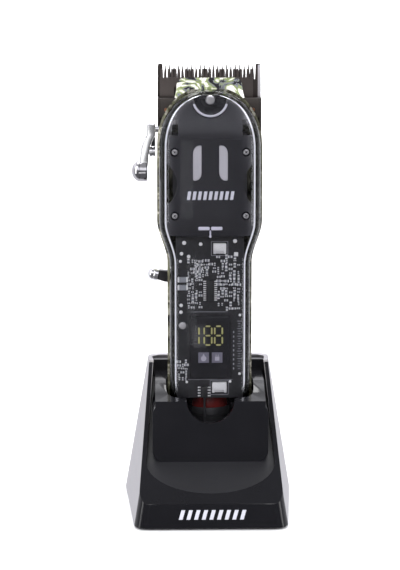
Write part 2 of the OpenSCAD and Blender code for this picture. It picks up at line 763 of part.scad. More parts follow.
module circuit_board() {
    color([0.14, 0.14, 0.15]) difference() {
        box(-board_hw, board_hw, board_y0, board_y1, board_z0, board_z1);
        for (p = [[-12.3, 87.1]]) along_y(-20, 0) translate([p[0], p[1]]) circle(0.9);
    }
}
// A part soldered on the front of the board: centre in x and z, width, height and thickness
module soldered(x, z, w, h, t) { box(x - w / 2, x + w / 2, board_y0 - t, board_y0, z - h / 2, z + h / 2); }
module display_module() {
    color([0.18, 0.18, 0.19]) soldered(0, 77.2, 18.2, 28.4, 1.6);
}
// One seven-segment figure
module figure(x, on) {
    w = 2.6;
    h = 7.8;
    t = 0.55;
    segments = [[0, h / 2, w - 1, t], [w / 2, h / 4, t, h / 2 - 1], [w / 2, -h / 4, t, h / 2 - 1],
        [0, -h / 2, w - 1, t],
        [-w / 2, -h / 4, t, h / 2 - 1], [-w / 2, h / 4, t, h / 2 - 1], [0, 0, w - 1, t]];
    for (i = on) soldered_on_glass(x + segments[i][0], 83.6 + segments[i][1], segments[i][2],
        segments[i][3]);
}
module soldered_on_glass(x, z, w, h) { box(x - w / 2, x + w / 2, board_y0 - 1.72, board_y0 - 1.6,
    z - h / 2, z + h / 2); }
module display_digits() {
    color("khaki") {
        figure(-6, [1, 2]);
        figure(-0.4, [0, 1, 2, 3, 4, 5, 6]);
        figure(4.6, [0, 1, 2, 3, 4, 5, 6]);
    }
}
module display_icons() {
    color([0.35, 0.35, 0.4]) for (x = [-2.9, 3.2]) soldered_on_glass(x, 72.6, 4.8, 4.8);
}
module board_chips() {
    color([0.12, 0.12, 0.13]) {
        soldered(0, 104.2, 3.7, 9.4, 1.5);
        soldered(-2.6, 56.6, 3.4, 5, 1.2);
    }
    for (i = [0:7], s = [-1, 1]) soldered(s * 2.7 + 0, 104.2 + (i - 3.5) * 1.15, 1.5, 0.5, 0.5);
    for (i = [0:3], s = [-1, 1]) soldered(-2.6 + s * 2.4, 56.6 + (i - 1.5) * 1.3, 1.3, 0.5, 0.4);
    color([0.75, 0.75, 0.75]) for (z = [104.6, 108.4]) soldered(-12.2, z, 4.6, 2.6, 1.6);
}
module board_passives() {
    color("lightgray") {
        for (r = [0:7], c = [0:3]) soldered(-9.4 + c * 1.7, 115.2 - r * 2.4 + (c % 2) * 0.6, 1.0, 0.7
            + (r % 3) * 0.3, 0.6);
        for (r = [0:8], c = [0:5]) soldered(5.2 + c * 1.7, 116.4 - r * 2.3 + (c % 3) * 0.4, 0.7
            + (r % 2) * 0.4, 1.0, 0.6);
        for (r = [0:4], c = [0:2]) soldered(-13.2 + c * 1.5, 69.4 - r * 1.6, 0.9, 0.7, 0.6);
    }
}
module board_connectors() {
    color("silver") {
        soldered(4.3, 122.4, 5.8, 4.8, 2.2);
        soldered(4.2, 58.8, 6.6, 4.8, 2.2);
    }
}
module board_pads() {
    color("silver") for (p = [[-11.6, 124.8], [-4.2, 124.2], [11.2, 125.6], [-12.8, 119.9],
        [11.7, 120.1], [-9.6, 115.6 + 3],
            [13.5, 91.8], [13.4, 64.8], [-10.5, 61], [9.1, 61.2], [-13, 96.3]])
        along_y(board_y0 - 0.25, board_y0) translate([p[0], p[1]]) circle(0.9);
}
module board_screw() {
    color("silver") difference() {
        union() {
            along_y(board_y0 - 1, board_y0) translate([-12.3, 87.1]) circle(1.7);
            along_y(board_y0, -5.6) translate([-12.3, 87.1]) circle(0.85);
        }
        along_y(-20, board_y0 - 0.5) translate([-12.3, 87.1]) cross(2, 0.45);
    }
}
module chassis() {
    color([0.16, 0.16, 0.17]) difference() {
        union() {
            // plate that carries the board, side rails and ribs round the battery
            box(-15.4, 15.4, board_y1, -6.4, 54.5, 131);
            for (s = [-1, 1]) box(s > 0 ? 12.4 : -14, s > 0 ? 14 : -12.4, -6.4, 6, 33.6, 98);
            for (z = [40, 66, 92]) box(-14, 14, -6.2, 9, z, z + 1.6);
            box(-14, 14, -6.4, 9, 33.6, 36.2);
            box(-14, 14, -6.4, 9, 105.6, 107.4);
            // posts for the screws from the back
            for (s = [-1, 1]) {
                along_y(5, 10.6) translate([s * rear_x, rear_z[0]]) circle(2.1);
                along_y(-6.4, 10.6) translate([s * rear_x, rear_z[1]]) circle(2.1);
            }
        }
        translate([0, cell_y, 36.2]) cylinder(r = cell_r + 0.3, h = 69.4);
        for (s = [-1, 1], z = rear_z) along_y(6, 12) translate([s * rear_x, z]) circle(0.95);
        along_y(-12, 0) {
            translate([-12.3, 87.1]) circle(0.86);
            for (s = [-1, 1]) translate([s * 7.6, 122]) circle(0.9);
            translate([2, 104.8]) circle(0.8);
        }
        // room for the switch
        box(-17.5, -11.8, -6.4, 8, 99, 114);
        box(-16, -11.8, -12, -6, 100, 113);
    }
}
module rear_screws() {
    color("silver") for (x = [-1, 1], z = rear_z) difference() {
        union() {
            along_y(13.3, 14.3) translate([x * rear_x, z]) circle(2.2);
            along_y(7, 13.3) translate([x * rear_x, z]) circle(0.9);
        }
        along_y(13.8, 16) translate([x * rear_x, z]) cross(3, 0.5);
    }
}
module charge_contacts() {
    color("gold") for (s = [-1, 1]) translate([s * pin_x, contact_y, 29.8]) cylinder(r = 1.9, h = 1.0);
    color([0.15, 0.15, 0.16]) difference() {
        box(-8.8, 8.8, contact_y - 2.4, contact_y + 2.4, 28.4, 33);
        for (s = [-1, 1]) translate([s * pin_x, contact_y, 20]) cylinder(r = 1.9, h = 10.8);
    }
}
module battery_cell() {
    color([0.55, 0.12, 0.12]) translate([0, cell_y, cell_z0]) cylinder(r = cell_r, h = cell_z1 - cell_z0);
    color("silver") translate([0, cell_y, cell_z1]) cylinder(r = 2.8, h = 0.8);
}
module battery_tabs() {
    color("silver") {
        box(-3, 3, -5, cell_y + 3, cell_z0 - 0.4, cell_z0);
        box(-3, 3, -5, cell_y + 3, cell_z1 + 0.8, cell_z1 + 1.1);
    }
}
module battery_leads() {
    color("red") along_y(board_y1, 2) translate([2, cell_z1 + 1.75]) circle(0.6);
    color("black") {
        along_y(-7.1, 2) translate([-2.4, 36.9]) circle(0.5);
        translate([-2.4, -7.1, 36.9]) cylinder(r = 0.5, h = 16.2);
        along_y(-9.4, -7.1) translate([-2.4, 53.1]) circle(0.5);
    }
}

stand_shell();
stand_cradle();
stand_base_plate();
stand_weight();
stand_feet();
stand_screws();
stand_charge_board();
stand_inlet();
charge_pin_left();
charge_pin_right();
back_shell();
front_cover();
nose_cover();
inner_panel();
panel_screws();
cover_screw();
panel_badge();
light_bar();
chassis();
rear_screws();
charge_contacts();
motor_can();
motor_bracket();
motor_screws();
motor_leads();
motor_rotor();
drive_fork();
fixed_blade();
blade_screws();
moving_blade();
taper_carriage();
spring_anchors();
taper_lever();
lever_knob();
lever_screw();
lever_bumper();
switch_body();
switch_paddle();
switch_cap();
circuit_board();
display_module();
display_digits();
display_icons();
board_chips();
board_passives();
board_connectors();
board_pads();
board_screw();
battery_cell();
battery_tabs();
battery_leads();
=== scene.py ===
import random
from math import cos, sin, pi, radians, sqrt

import bpy
from mathutils import Matrix, Vector


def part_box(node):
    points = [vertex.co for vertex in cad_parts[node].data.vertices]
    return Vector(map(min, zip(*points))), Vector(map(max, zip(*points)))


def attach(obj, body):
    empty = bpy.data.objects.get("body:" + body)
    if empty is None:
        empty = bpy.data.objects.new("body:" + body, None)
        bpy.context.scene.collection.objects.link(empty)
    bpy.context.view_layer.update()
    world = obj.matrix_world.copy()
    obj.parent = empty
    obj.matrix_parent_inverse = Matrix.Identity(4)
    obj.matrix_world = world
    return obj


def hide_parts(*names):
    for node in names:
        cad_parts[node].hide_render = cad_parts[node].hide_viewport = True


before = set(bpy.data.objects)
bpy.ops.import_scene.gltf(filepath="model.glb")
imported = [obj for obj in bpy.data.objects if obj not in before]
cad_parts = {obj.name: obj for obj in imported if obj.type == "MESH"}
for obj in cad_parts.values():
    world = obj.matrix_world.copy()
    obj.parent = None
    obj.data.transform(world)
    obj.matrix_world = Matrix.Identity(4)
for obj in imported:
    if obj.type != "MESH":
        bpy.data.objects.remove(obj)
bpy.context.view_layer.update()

MM = 0.001

# Camera, floor and lamps. The clipper stands in its stand on a pale studio sweep, seen a little from above
# and from its lever side through a long lens. Two tall side boxes draw the bright lines down its edges.
aim = Vector((-4.65, -17.0, 106.8)) * MM
azimuth, elevation, distance = radians(-1.2), radians(10.0), 1.1
back = Vector((sin(azimuth) * cos(elevation), -cos(azimuth) * cos(elevation), sin(elevation)))
bpy.ops.object.camera_add(location=aim + back * distance)
camera = bpy.context.object
camera.rotation_mode = "QUATERNION"
camera.rotation_quaternion = (-back).to_track_quat("-Z", "Y")
camera.data.lens = 155.4
camera.data.sensor_width = 36.0
camera.data.clip_start, camera.data.clip_end = 0.05, 20.0
bpy.context.scene.camera = camera
bpy.context.scene.view_settings.view_transform = "Standard"

bpy.ops.object.select_all(action="DESELECT")
bpy.ops.mesh.primitive_plane_add(size=6.0)
floor = bpy.context.object
floor.name = "floor"
bpy.ops.object.mode_set(mode="EDIT")
bpy.ops.mesh.select_all(action="DESELECT")
bpy.ops.object.mode_set(mode="OBJECT")
for edge in floor.data.edges:
    edge.select = all(floor.data.vertices[i].co.y > 0 for i in edge.vertices)
bpy.ops.object.mode_set(mode="EDIT")
bpy.ops.mesh.select_mode(type="EDGE")
for rise, run in ((0.15, 0.45), (0.35, 0.35), (0.45, 0.15), (2.6, 0.0)):
    bpy.ops.mesh.extrude_region_move(TRANSFORM_OT_translate={"value": (0, run, rise)})
bpy.ops.object.mode_set(mode="OBJECT")
bpy.ops.object.shade_smooth()
paper = bpy.data.materials.new("studio_paper")
paper.use_nodes = True
paper_shader = paper.node_tree.nodes["Principled BSDF"]
paper_shader.inputs["Base Color"].default_value = (0.93, 0.93, 0.94, 1)
paper_shader.inputs["Roughness"].default_value = 0.9
paper_shader.inputs["Specular IOR Level"].default_value = 0.1
floor.data.materials.append(paper)
floor.visible_glossy = False

world = bpy.data.worlds.new("studio")
bpy.context.scene.world = world
world.use_nodes = True
sky_nodes, sky_links = world.node_tree.nodes, world.node_tree.links
sky_where = sky_nodes.new("ShaderNodeTexCoord")
sky_split = sky_nodes.new("ShaderNodeSeparateXYZ")


def sky_band(axis, stops):
    ramp = sky_nodes.new("ShaderNodeValToRGB")
    while len(ramp.color_ramp.elements) < len(stops):
        ramp.color_ramp.elements.new(0.5)
    for i, (stop, level) in enumerate(stops):
        ramp.color_ramp.elements[i].position = stop
        ramp.color_ramp.elements[i].color = (level * 0.95, level * 0.95, level, 1)
    sky_links.new(sky_split.outputs[axis], ramp.inputs["Fac"])
    return ramp


overhead = sky_band("Z", ((0.0, 0.01), (0.12, 0.03), (0.30, 0.75), (0.50, 0.95), (0.78, 0.26)))
behind = sky_band("Y", ((0.0, 0.10), (0.18, 0.50), (0.45, 0.55)))
sky = sky_nodes.new("ShaderNodeMix")
sky.data_type = "RGBA"
sky.blend_type = "LIGHTEN"
sky.inputs["Factor"].default_value = 1.0
sky_links.new(sky_where.outputs["Generated"], sky_split.inputs["Vector"])
sky_links.new(overhead.outputs["Color"], sky.inputs["A"])
sky_links.new(behind.outputs["Color"], sky.inputs["B"])
sky_links.new(sky.outputs["Result"], sky_nodes["Background"].inputs["Color"])
sky_nodes["Background"].inputs["Strength"].default_value = 1.6


def softbox(name, place, target, size, watts):
    bpy.ops.object.select_all(action="DESELECT")
    bpy.ops.object.light_add(type="AREA", location=place)
    lamp = bpy.context.object
    lamp.name = name
    lamp.rotation_mode = "QUATERNION"
    lamp.rotation_quaternion = (Vector(target) - Vector(place)).to_track_quat("-Z", "Y")
    lamp.data.shape = "RECTANGLE"
    lamp.data.size, lamp.data.size_y = size
    lamp.data.energy = watts
    return lamp


middle = (0, 0, 0.1)
softbox("left_box", (-0.80, -0.20, 0.30), middle, (0.22, 1.0), 2.6)
softbox("right_box", (0.80, -0.20, 0.30), middle, (0.22, 1.0), 3.0)
softbox("top_box", (0.0, 0.55, 1.0), middle, (0.8, 0.4), 5.0)
front_box = softbox("front_box", (0.0, -1.3, 0.92), middle, (1.9, 0.45), 15.0)
front_box.visible_glossy = False
softbox("lever_box", (-0.117, -0.7, 0.04), (-0.03, 0, 0.165), (0.18, 0.2), 0.15)
softbox("backdrop_box", (0.0, 1.4, 1.4), (0, 3.8, 0.9), (2.6, 1.2), 95.0)
softbox("floor_box", (0.0, 1.0, 2.2), (0, 1.2, 0.0), (2.6, 1.6), 30.0)


# Silver housing of the stand. The real one is an injection moulded ABS shell, sprayed satin silver, that wraps
# the sides and back; its sloped rims carry a small rounded edge. The black moulding clips in from the front.
def deselect():
    if bpy.context.object and bpy.context.object.mode == "EDIT":
        bpy.ops.object.mode_set(mode="OBJECT")
    bpy.ops.object.select_all(action="DESELECT")


def edit_all(piece):
    deselect()
    piece.select_set(True)
    bpy.context.view_layer.objects.active = piece
    bpy.ops.object.mode_set(mode="EDIT")
    bpy.ops.mesh.select_all(action="SELECT")


def apply_modifier(piece, kind, **settings):
    deselect()
    bpy.context.view_layer.objects.active = piece
    piece.select_set(True)
    modifier = piece.modifiers.new(kind.lower(), kind)
    for key, value in settings.items():
        setattr(modifier, key, value)
    bpy.ops.object.modifier_apply(modifier=modifier.name)


def soften(piece, width, angle=30, segments=2):
    """Rounds a moulded piece's sharp edges and shades it smooth between them."""
    if width:
        apply_modifier(piece, "BEVEL", width=width * MM, segments=segments, limit_method="ANGLE",
                       angle_limit=radians(angle), use_clamp_overlap=True)
    deselect()
    piece.select_set(True)
    bpy.context.view_layer.objects.active = piece
    bpy.ops.object.shade_smooth_by_angle(angle=radians(angle))
    if width:
        apply_modifier(piece, "WEIGHTED_NORMAL", keep_sharp=True, weight=100)


def fit(piece, finish, body, slot, *nodes):
    piece.data.materials.clear()
    piece.data.materials.append(finish)
    for polygon in piece.data.polygons:
        polygon.material_index = 0
    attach(piece, body)
    if nodes:
        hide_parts(*nodes)
    return piece


def from_cad(node, name, edge, angle=30):
    """A CAD part's own mesh, merged into one skin, with its edges eased."""
    deselect()
    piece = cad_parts[node].copy()
    piece.data = piece.data.copy()
    piece.parent = None
    for key in list(piece.keys()):
        del piece[key]
    piece.name = name
    bpy.context.scene.collection.objects.link(piece)
    edit_all(piece)
    bpy.ops.mesh.remove_doubles(threshold=0.000002)
    bpy.ops.mesh.dissolve_limited(angle_limit=radians(1.0))
    bpy.ops.object.mode_set(mode="OBJECT")
    soften(piece, edge, angle)
    return piece


def finish_of(name, colour, roughness, metal=0.0, second=None, patch=60, grain=900, spread=0.06,
              bump=0.004, coat=0.0, specular=0.5, stretch=(1, 1, 1)):
    """A finish with soft colour patches, and a grain that drives its roughness and a shallow bump."""
    made = bpy.data.materials.new(name)
    made.use_nodes = True
    nodes, links = made.node_tree.nodes, made.node_tree.links
    shader = nodes["Principled BSDF"]
    where = nodes.new("ShaderNodeTexCoord")
    turn = nodes.new("ShaderNodeMapping")
    turn.inputs["Scale"].default_value = stretch
    links.new(where.outputs["Object"], turn.inputs["Vector"])
    patches = nodes.new("ShaderNodeTexNoise")
    patches.inputs["Scale"].default_value = patch
    patches.inputs["Detail"].default_value = 4
    fine = nodes.new("ShaderNodeTexNoise")
    fine.inputs["Scale"].default_value = grain
    fine.inputs["Detail"].default_value = 3
    for texture in (patches, fine):
        links.new(turn.outputs["Vector"], texture.inputs["Vector"])
    mix = nodes.new("ShaderNodeMix")
    mix.data_type = "RGBA"
    mix.inputs["A"].default_value = (*colour, 1)
    mix.inputs["B"].default_value = (*(second or [c * 0.8 for c in colour]), 1)
    links.new(patches.outputs["Fac"], mix.inputs["Factor"])
    links.new(mix.outputs["Result"], shader.inputs["Base Color"])
    rough = nodes.new("ShaderNodeMapRange")
    rough.inputs["To Min"].default_value = max(0.02, roughness - spread)
    rough.inputs["To Max"].default_value = min(1.0, roughness + spread)
    links.new(fine.outputs["Fac"], rough.inputs["Value"])
    links.new(rough.outputs["Result"], shader.inputs["Roughness"])
    relief = nodes.new("ShaderNodeBump")
    relief.inputs["Strength"].default_value = 0.2
    relief.inputs["Distance"].default_value = bump * MM
    links.new(fine.outputs["Fac"], relief.inputs["Height"])
    links.new(relief.outputs["Normal"], shader.inputs["Normal"])
    shader.inputs["Metallic"].default_value = metal
    shader.inputs["Coat Weight"].default_value = coat
    shader.inputs["Specular IOR Level"].default_value = specular
    return made


silver_paint = finish_of("satin_silver_paint", (0.43, 0.415, 0.44), 0.34, metal=0.8,
                         second=(0.39, 0.38, 0.40),
                         grain=2600, bump=0.006, coat=0.25)


def stand_outline(z, corner=6.0, steps=8):
    front, rear = -41 + 0.045 * z, 41 - 10 * z / 66
    half_front = 39 + 0.053 * (front - 41) - 0.1585 * z
    half_rear = 39 + 0.053 * (rear - 41) - 0.1585 * z
    centres = ((half_front - corner, front + corner, -90), (half_rear - corner, rear - corner, 0),
               (corner - half_rear, rear - corner, 90), (corner - half_front, front + corner, 180))
    return [(cx + corner * cos(radians(start + 90 * i / steps)),
             cy + corner * sin(radians(start + 90 * i / steps)))
            for cx, cy, start in centres for i in range(steps + 1)]


def loft(name, rings, ends="NGON"):
    """A circle drawn out along its rings, each then set to its own list of points in mm."""
    deselect()
    bpy.ops.mesh.primitive_circle_add(vertices=len(rings[0]), radius=0.01, fill_type=ends)
    piece = bpy.context.object
    piece.name = name
    count = len(rings[0])
    edit_all(piece)
    for _ in rings[1:]:
        bpy.ops.mesh.extrude_region_move(TRANSFORM_OT_translate={"value": (0, 0, 0.001)})
    bpy.ops.object.mode_set(mode="OBJECT")
    for ring, points in enumerate(rings):
        for i, point in enumerate(points):
            piece.data.vertices[ring * count + i].co = Vector(point) * MM
    edit_all(piece)
    bpy.ops.mesh.normals_make_consistent(inside=False)
    bpy.ops.object.mode_set(mode="OBJECT")
    return piece


def bisect(piece, point, normal, fill=False):
    """Cuts away what lies on the side that the normal points to."""
    edit_all(piece)
    bpy.ops.mesh.bisect(plane_co=Vector(point) * MM, plane_no=Vector(normal), use_fill=fill, clear_outer=True)
    bpy.ops.object.mode_set(mode="OBJECT")


shell = loft("stand_housing", [[(x, y, z) for x, y in stand_outline(z)] for z in (1.0, 66.0)], ends="NOTHING")
ramp_normal = Vector((0, -54, 56)).normalized()
bisect(shell, (0, 16, 66), ramp_normal)
bisect(shell, (0, -35, 0), (0, -1, 0))
edit_all(shell)
bpy.ops.mesh.normals_make_consistent(inside=False)
bpy.ops.object.mode_set(mode="OBJECT")
apply_modifier(shell, "SOLIDIFY", thickness=2.0 * MM, offset=-1, use_even_offset=True)


def block(name, low, high, edge=0.0):
    deselect()
    bpy.ops.mesh.primitive_cube_add(size=1)
    piece = bpy.context.object
    piece.name = name
    for vertex in piece.data.vertices:
        vertex.co = [(high if vertex.co[i] > 0 else low)[i] * MM for i in range(3)]
    if edge:
        edit_all(piece)
        bpy.ops.mesh.bevel(offset=edge * MM, segments=2, affect="EDGES")
        bpy.ops.object.mode_set(mode="OBJECT")
    return piece


def cut(piece, *tools):
    for tool in tools:
        apply_modifier(piece, "BOOLEAN", operation="DIFFERENCE", solver="EXACT", object=tool)
        bpy.data.objects.remove(tool)


def plate(name, outline, axis, start, stop):
    """A flat outline in mm drawn out along one axis."""
    deselect()
    bpy.ops.mesh.primitive_circle_add(vertices=len(outline), radius=0.01, fill_type="NGON")
    piece = bpy.context.object
    piece.name = name
    spot = {"y": lambda p, q, h: (p, h, q), "x": lambda p, q, h: (h, p, q), "z": lambda p, q,
            h: (p, q, h)}[axis]
    for vertex, (p, q) in zip(piece.data.vertices, outline):
        vertex.co = Vector(spot(p, q, start)) * MM
    edit_all(piece)
    bpy.ops.mesh.extrude_region_move(TRANSFORM_OT_translate={"value": Vector(spot(0, 0, stop - start)) * MM})
    bpy.ops.mesh.select_all(action="SELECT")
    bpy.ops.mesh.normals_make_consistent(inside=False)
    bpy.ops.object.mode_set(mode="OBJECT")
    return piece


cut(shell, block("inlet_hole", (-7, 30, 8), (7, 50, 15.6)))
cut(shell, plate("flange_room", ((-50, 1.31), (15.05, 64.03), (15.05, 70), (-50, 70)), "x", -60, 60))
soften(shell, 0.5, 30)
fit(shell, silver_paint, "stand", "silver_plastic", "stand_shell")


# Black moulding in the front of the stand: fascia, dished recess and the block round the pocket. It is gloss
# black ABS straight from a polished tool, with fine scuffs from clippers being set down in it.
gloss_black = finish_of("gloss_black_abs", (0.006, 0.006, 0.0075), 0.14, grain=300,
                        second=(0.009, 0.009, 0.011),
                        spread=0.05, bump=0.0015, specular=0.22, coat=0.1)
moulding = from_cad("stand_cradle", "stand_moulding", 0.35, 32)
fit(moulding, gloss_black, "stand", "black_gloss", "stand_cradle")

# Floor of the dished recess: a thin skin laid on the black moulding, with a satin roughness. Its black is a
# little lighter than the moulding's, painted light for the lit crescent below the pocket and the strip up each
# side.
# painted light: a lighter black than the gloss moulding, for the lit crescent and the side strips
recess_black_painted_light = finish_of("recess_satin_painted_lighter", (0.009, 0.009, 0.011), 0.42, grain=1900,
                        second=(0.012, 0.012, 0.015), bump=0.004)
deselect()
bpy.ops.mesh.primitive_grid_add(x_subdivisions=36, y_subdivisions=30, size=0.05)
recess = bpy.context.object
recess.name = "recess_floor"
for i, vertex in enumerate(recess.data.vertices):
    along, up = (i % 37) / 18 - 1, (i // 37) / 30
    y = -35.9 + (up ** 1.6) * 57.4
    reach = 28.9 * sqrt(max(0, 1 - ((-24 - y) / 12.0) ** 2)) if y < -24 else 28.9 - 3.5 * (y + 24) / 46
    floor_z = 13.7 + 12.5 * (y + 37) / 15 if y < -22 else 26.2 + 31.3 * (y + 22) / 44
    vertex.co = Vector((reach * along, y, floor_z + 0.06)) * MM
apply_modifier(recess, "SOLIDIFY", thickness=0.3 * MM, offset=-1)
soften(recess, 0, 40)
fit(recess, recess_black_painted_light, "stand", "black_gloss")

# Generic printed mark on the front of the stand: a plain row of slanted pad-printed bars.
pale_ink = finish_of("pale_ink", (0.60, 0.60, 0.66), 0.5, second=(0.52, 0.52, 0.58), grain=3000)
for number in range(9):
    left = -14.6 + number * 3.4
    bar = block(f"stand_mark_{number}", (left, -40.86, 5.0), (left + 1.7, -40.70, 9.4))
    edit_all(bar)
    bpy.ops.mesh.select_all(action="DESELECT")
    bpy.ops.object.mode_set(mode="OBJECT")
    for vertex in bar.data.vertices:
        if vertex.co.z > 7 * MM:
            vertex.co.x += 1.2 * MM
    soften(bar, 0.04)
    fit(bar, pale_ink, "stand", "pale_print")


# Form of the clipper's body. Its front half is boxy with round corners and its back half is rounder; the waist
# widens into the head, which ends in an arch. Every shell and skin below is this form, set in by a distance.
def smooth(t):
    t = min(1, max(0, t))
    return t * t * (3 - 2 * t)


def power(value, exponent):
    return (-1 if value < 0 else 1) * abs(value) ** exponent


def body_point(angle, z, inset):
    start = 28 - inset + 7
    loss = 0 if z >= start else 7 - sqrt(max(0, 49 - (start - z) ** 2))
    arch = 1 if z <= 166 else max(0.004, 1 - ((z - 166) / (28 + inset)) ** 2.25) ** (1 / 2.25)
    half = (19.1 + 4.6 * smooth((z - 115) / 19) + inset) * arch - loss
    front = angle < 0 or angle > pi
    if front:
        depth, exponent = 15 + 2 * smooth((z - 118) / 22) - 7 * smooth((z - 172) / 26), 2 / 4.2
    else:
        depth, exponent = 19 - 5.6 * smooth((z - 140) / 36), 2 / 2.7
    depth += inset - loss
    return (half * power(cos(angle), exponent), -2 + depth * power(sin(angle), exponent), z)


def body_heights(inset, low, top):
    ends = [28 - inset + 7 - 7 * cos(radians(t)) for t in range(0, 91, 10)]
    waist = [40 + 12 * i for i in range(6)] + [110 + 2 * i for i in range(17)]
    arch = [148, 154, 160] + [166 + (28 + inset) * sin(radians(t)) ** (2 / 2.25) for t in range(6, 87, 5)]
    return sorted(z for z in ends + waist + arch + [low, top] if low <= z <= top)


def body_sheet(name, inset, start, stop, low, top, columns=72, close_low=False, close_top=False):
    """A grid bent to the form between two angles and two heights; a closed end draws in to a pole."""
    heights = body_heights(inset, low, top)
    rows = [[body_point(start + (stop - start) * c / columns, z, inset) for c in range(columns + 1)]
            for z in heights]
    pole = lambda row: [[(x * k, -2 + (y + 2) * k, z) for x, y, z in row] for k in (0.55, 0.0)]
    if close_low:
        rows = pole(rows[0])[::-1] + rows
    if close_top:
        rows = rows + pole(rows[-1])
    deselect()
    bpy.ops.mesh.primitive_grid_add(x_subdivisions=columns, y_subdivisions=len(rows) - 1, size=0.1)
    piece = bpy.context.object
    piece.name = name
    for i, point in enumerate(p for row in rows for p in row):
        piece.data.vertices[i].co = Vector(point) * MM
    edit_all(piece)
    bpy.ops.mesh.remove_doubles(threshold=0.000004)
    bpy.ops.object.mode_set(mode="OBJECT")
    middle = piece.data.polygons[len(piece.data.polygons) // 2]
    if middle.normal.dot(middle.center - Vector((0, -0.002, middle.center.z))) < 0:
        edit_all(piece)
        bpy.ops.mesh.flip_normals()
        bpy.ops.object.mode_set(mode="OBJECT")
    return piece


# Clear front cover. It is injection moulded polycarbonate, polished, 1.5 mm thick and held by one screw at the
# nose. Its rolled edge catches the lamps all round.
def clear_plastic(name, tint, roughness):
    """Sees straight through and mirrors by its angle, as a thin polished wall does."""
    made = bpy.data.materials.new(name)
    made.use_nodes = True
    nodes, links = made.node_tree.nodes, made.node_tree.links
    shader = nodes["Principled BSDF"]
    shader.inputs["Base Color"].default_value = (0.95, 0.96, 1.0, 1)
    shader.inputs["Metallic"].default_value = 1.0
    where = nodes.new("ShaderNodeTexCoord")
    swirl = nodes.new("ShaderNodeTexNoise")
    swirl.inputs["Scale"].default_value = 45
    swirl.inputs["Detail"].default_value = 5
    links.new(where.outputs["Object"], swirl.inputs["Vector"])
    rough = nodes.new("ShaderNodeMapRange")
    rough.inputs["To Min"].default_value = roughness * 0.7
    rough.inputs["To Max"].default_value = roughness * 1.2
    links.new(swirl.outputs["Fac"], rough.inputs["Value"])
    links.new(rough.outputs["Result"], shader.inputs["Roughness"])
    through = nodes.new("ShaderNodeBsdfTransparent")
    through.inputs["Color"].default_value = (*tint, 1)
    rim = nodes.new("ShaderNodeFresnel")
    rim.inputs["IOR"].default_value = 1.28
    less = nodes.new("ShaderNodeMapRange")
    less.inputs["From Min"].default_value = 0.013
    less.inputs["To Min"].default_value = 0.004
    mix = nodes.new("ShaderNodeMixShader")
    links.new(rim.outputs["Fac"], less.inputs["Value"])
    links.new(less.outputs["Result"], mix.inputs[0])
    links.new(through.outputs["BSDF"], mix.inputs[1])
    links.new(shader.outputs["BSDF"], mix.inputs[2])
    links.new(mix.outputs["Shader"], nodes["Material Output"].inputs["Surface"])
    return made


polycarbonate = clear_plastic("clear_polycarbonate", (0.95, 0.95, 0.96), 0.03)
cover = body_sheet("clear_cover", -0.9, pi, 2 * pi, 28.9, 192.9, close_low=True, close_top=True)
apply_modifier(cover, "SOLIDIFY", thickness=1.5 * MM, offset=-1, use_even_offset=True)
soften(cover, 0, 40)
fit(cover, polycarbonate, "clipper", "clear_cover", "front_cover")


# Back shell. Die-cast zinc under a glossy film, mottled olive, cream and bronze. It shows as a narrow band all
# round the clear cover and carries the motor vents, the screws and the slots for lever and switch.
def mottled_film(name, scale, shades):
    made = finish_of(name, (0.1, 0.1, 0.08), 0.16, metal=0.72, grain=2200, bump=0.002, coat=0.9)
    nodes, links = made.node_tree.nodes, made.node_tree.links
    shader = nodes["Principled BSDF"]
    where = nodes["Texture Coordinate"]
    blotch = nodes.new("ShaderNodeTexNoise")
    blotch.inputs["Scale"].default_value = scale
    blotch.inputs["Detail"].default_value = 5
    blotch.inputs["Distortion"].default_value = 1.6
    ramp = nodes.new("ShaderNodeValToRGB")
    while len(ramp.color_ramp.elements) < len(shades):
        ramp.color_ramp.elements.new(0.5)
    for i, (stop, shade) in enumerate(shades):
        ramp.color_ramp.elements[i].position = stop
        ramp.color_ramp.elements[i].color = (*shade, 1)
    links.new(where.outputs["Object"], blotch.inputs["Vector"])
    links.new(blotch.outputs["Fac"], ramp.inputs["Fac"])
    links.new(ramp.outputs["Color"], shader.inputs["Base Color"])
    return made


film_shades = [(0.36, (0.025, 0.025, 0.02)), (0.44, (0.16, 0.15, 0.10)), (0.50, (0.21, 0.22, 0.13)),
               (0.56, (0.33, 0.31, 0.25)), (0.62, (0.62, 0.60, 0.50))]
camo_film = mottled_film("mottled_film", 210, film_shades)
back = body_sheet("back_shell", 0, 0, pi, 28, 192.9, close_low=True, close_top=True)
apply_modifier(back, "SOLIDIFY", thickness=1.6 * MM, offset=-1, use_even_offset=True)
cut(back, block("behind_blade", (-60, 2.8, 179.1), (60, 60, 240)),
    block("arch_back", (-60, -0.2, 184.6), (60, 60, 240)),
    block("carriage_room", (-20.7, 2.8, 172), (20.7, 5.9, 240)),
    block("switch_slot", (-24, 0.7, 102.4), (-12, 6.1, 110.8)),
    block("contact_slot", (-9, -2.6, 20), (9, 2.6, 32)))


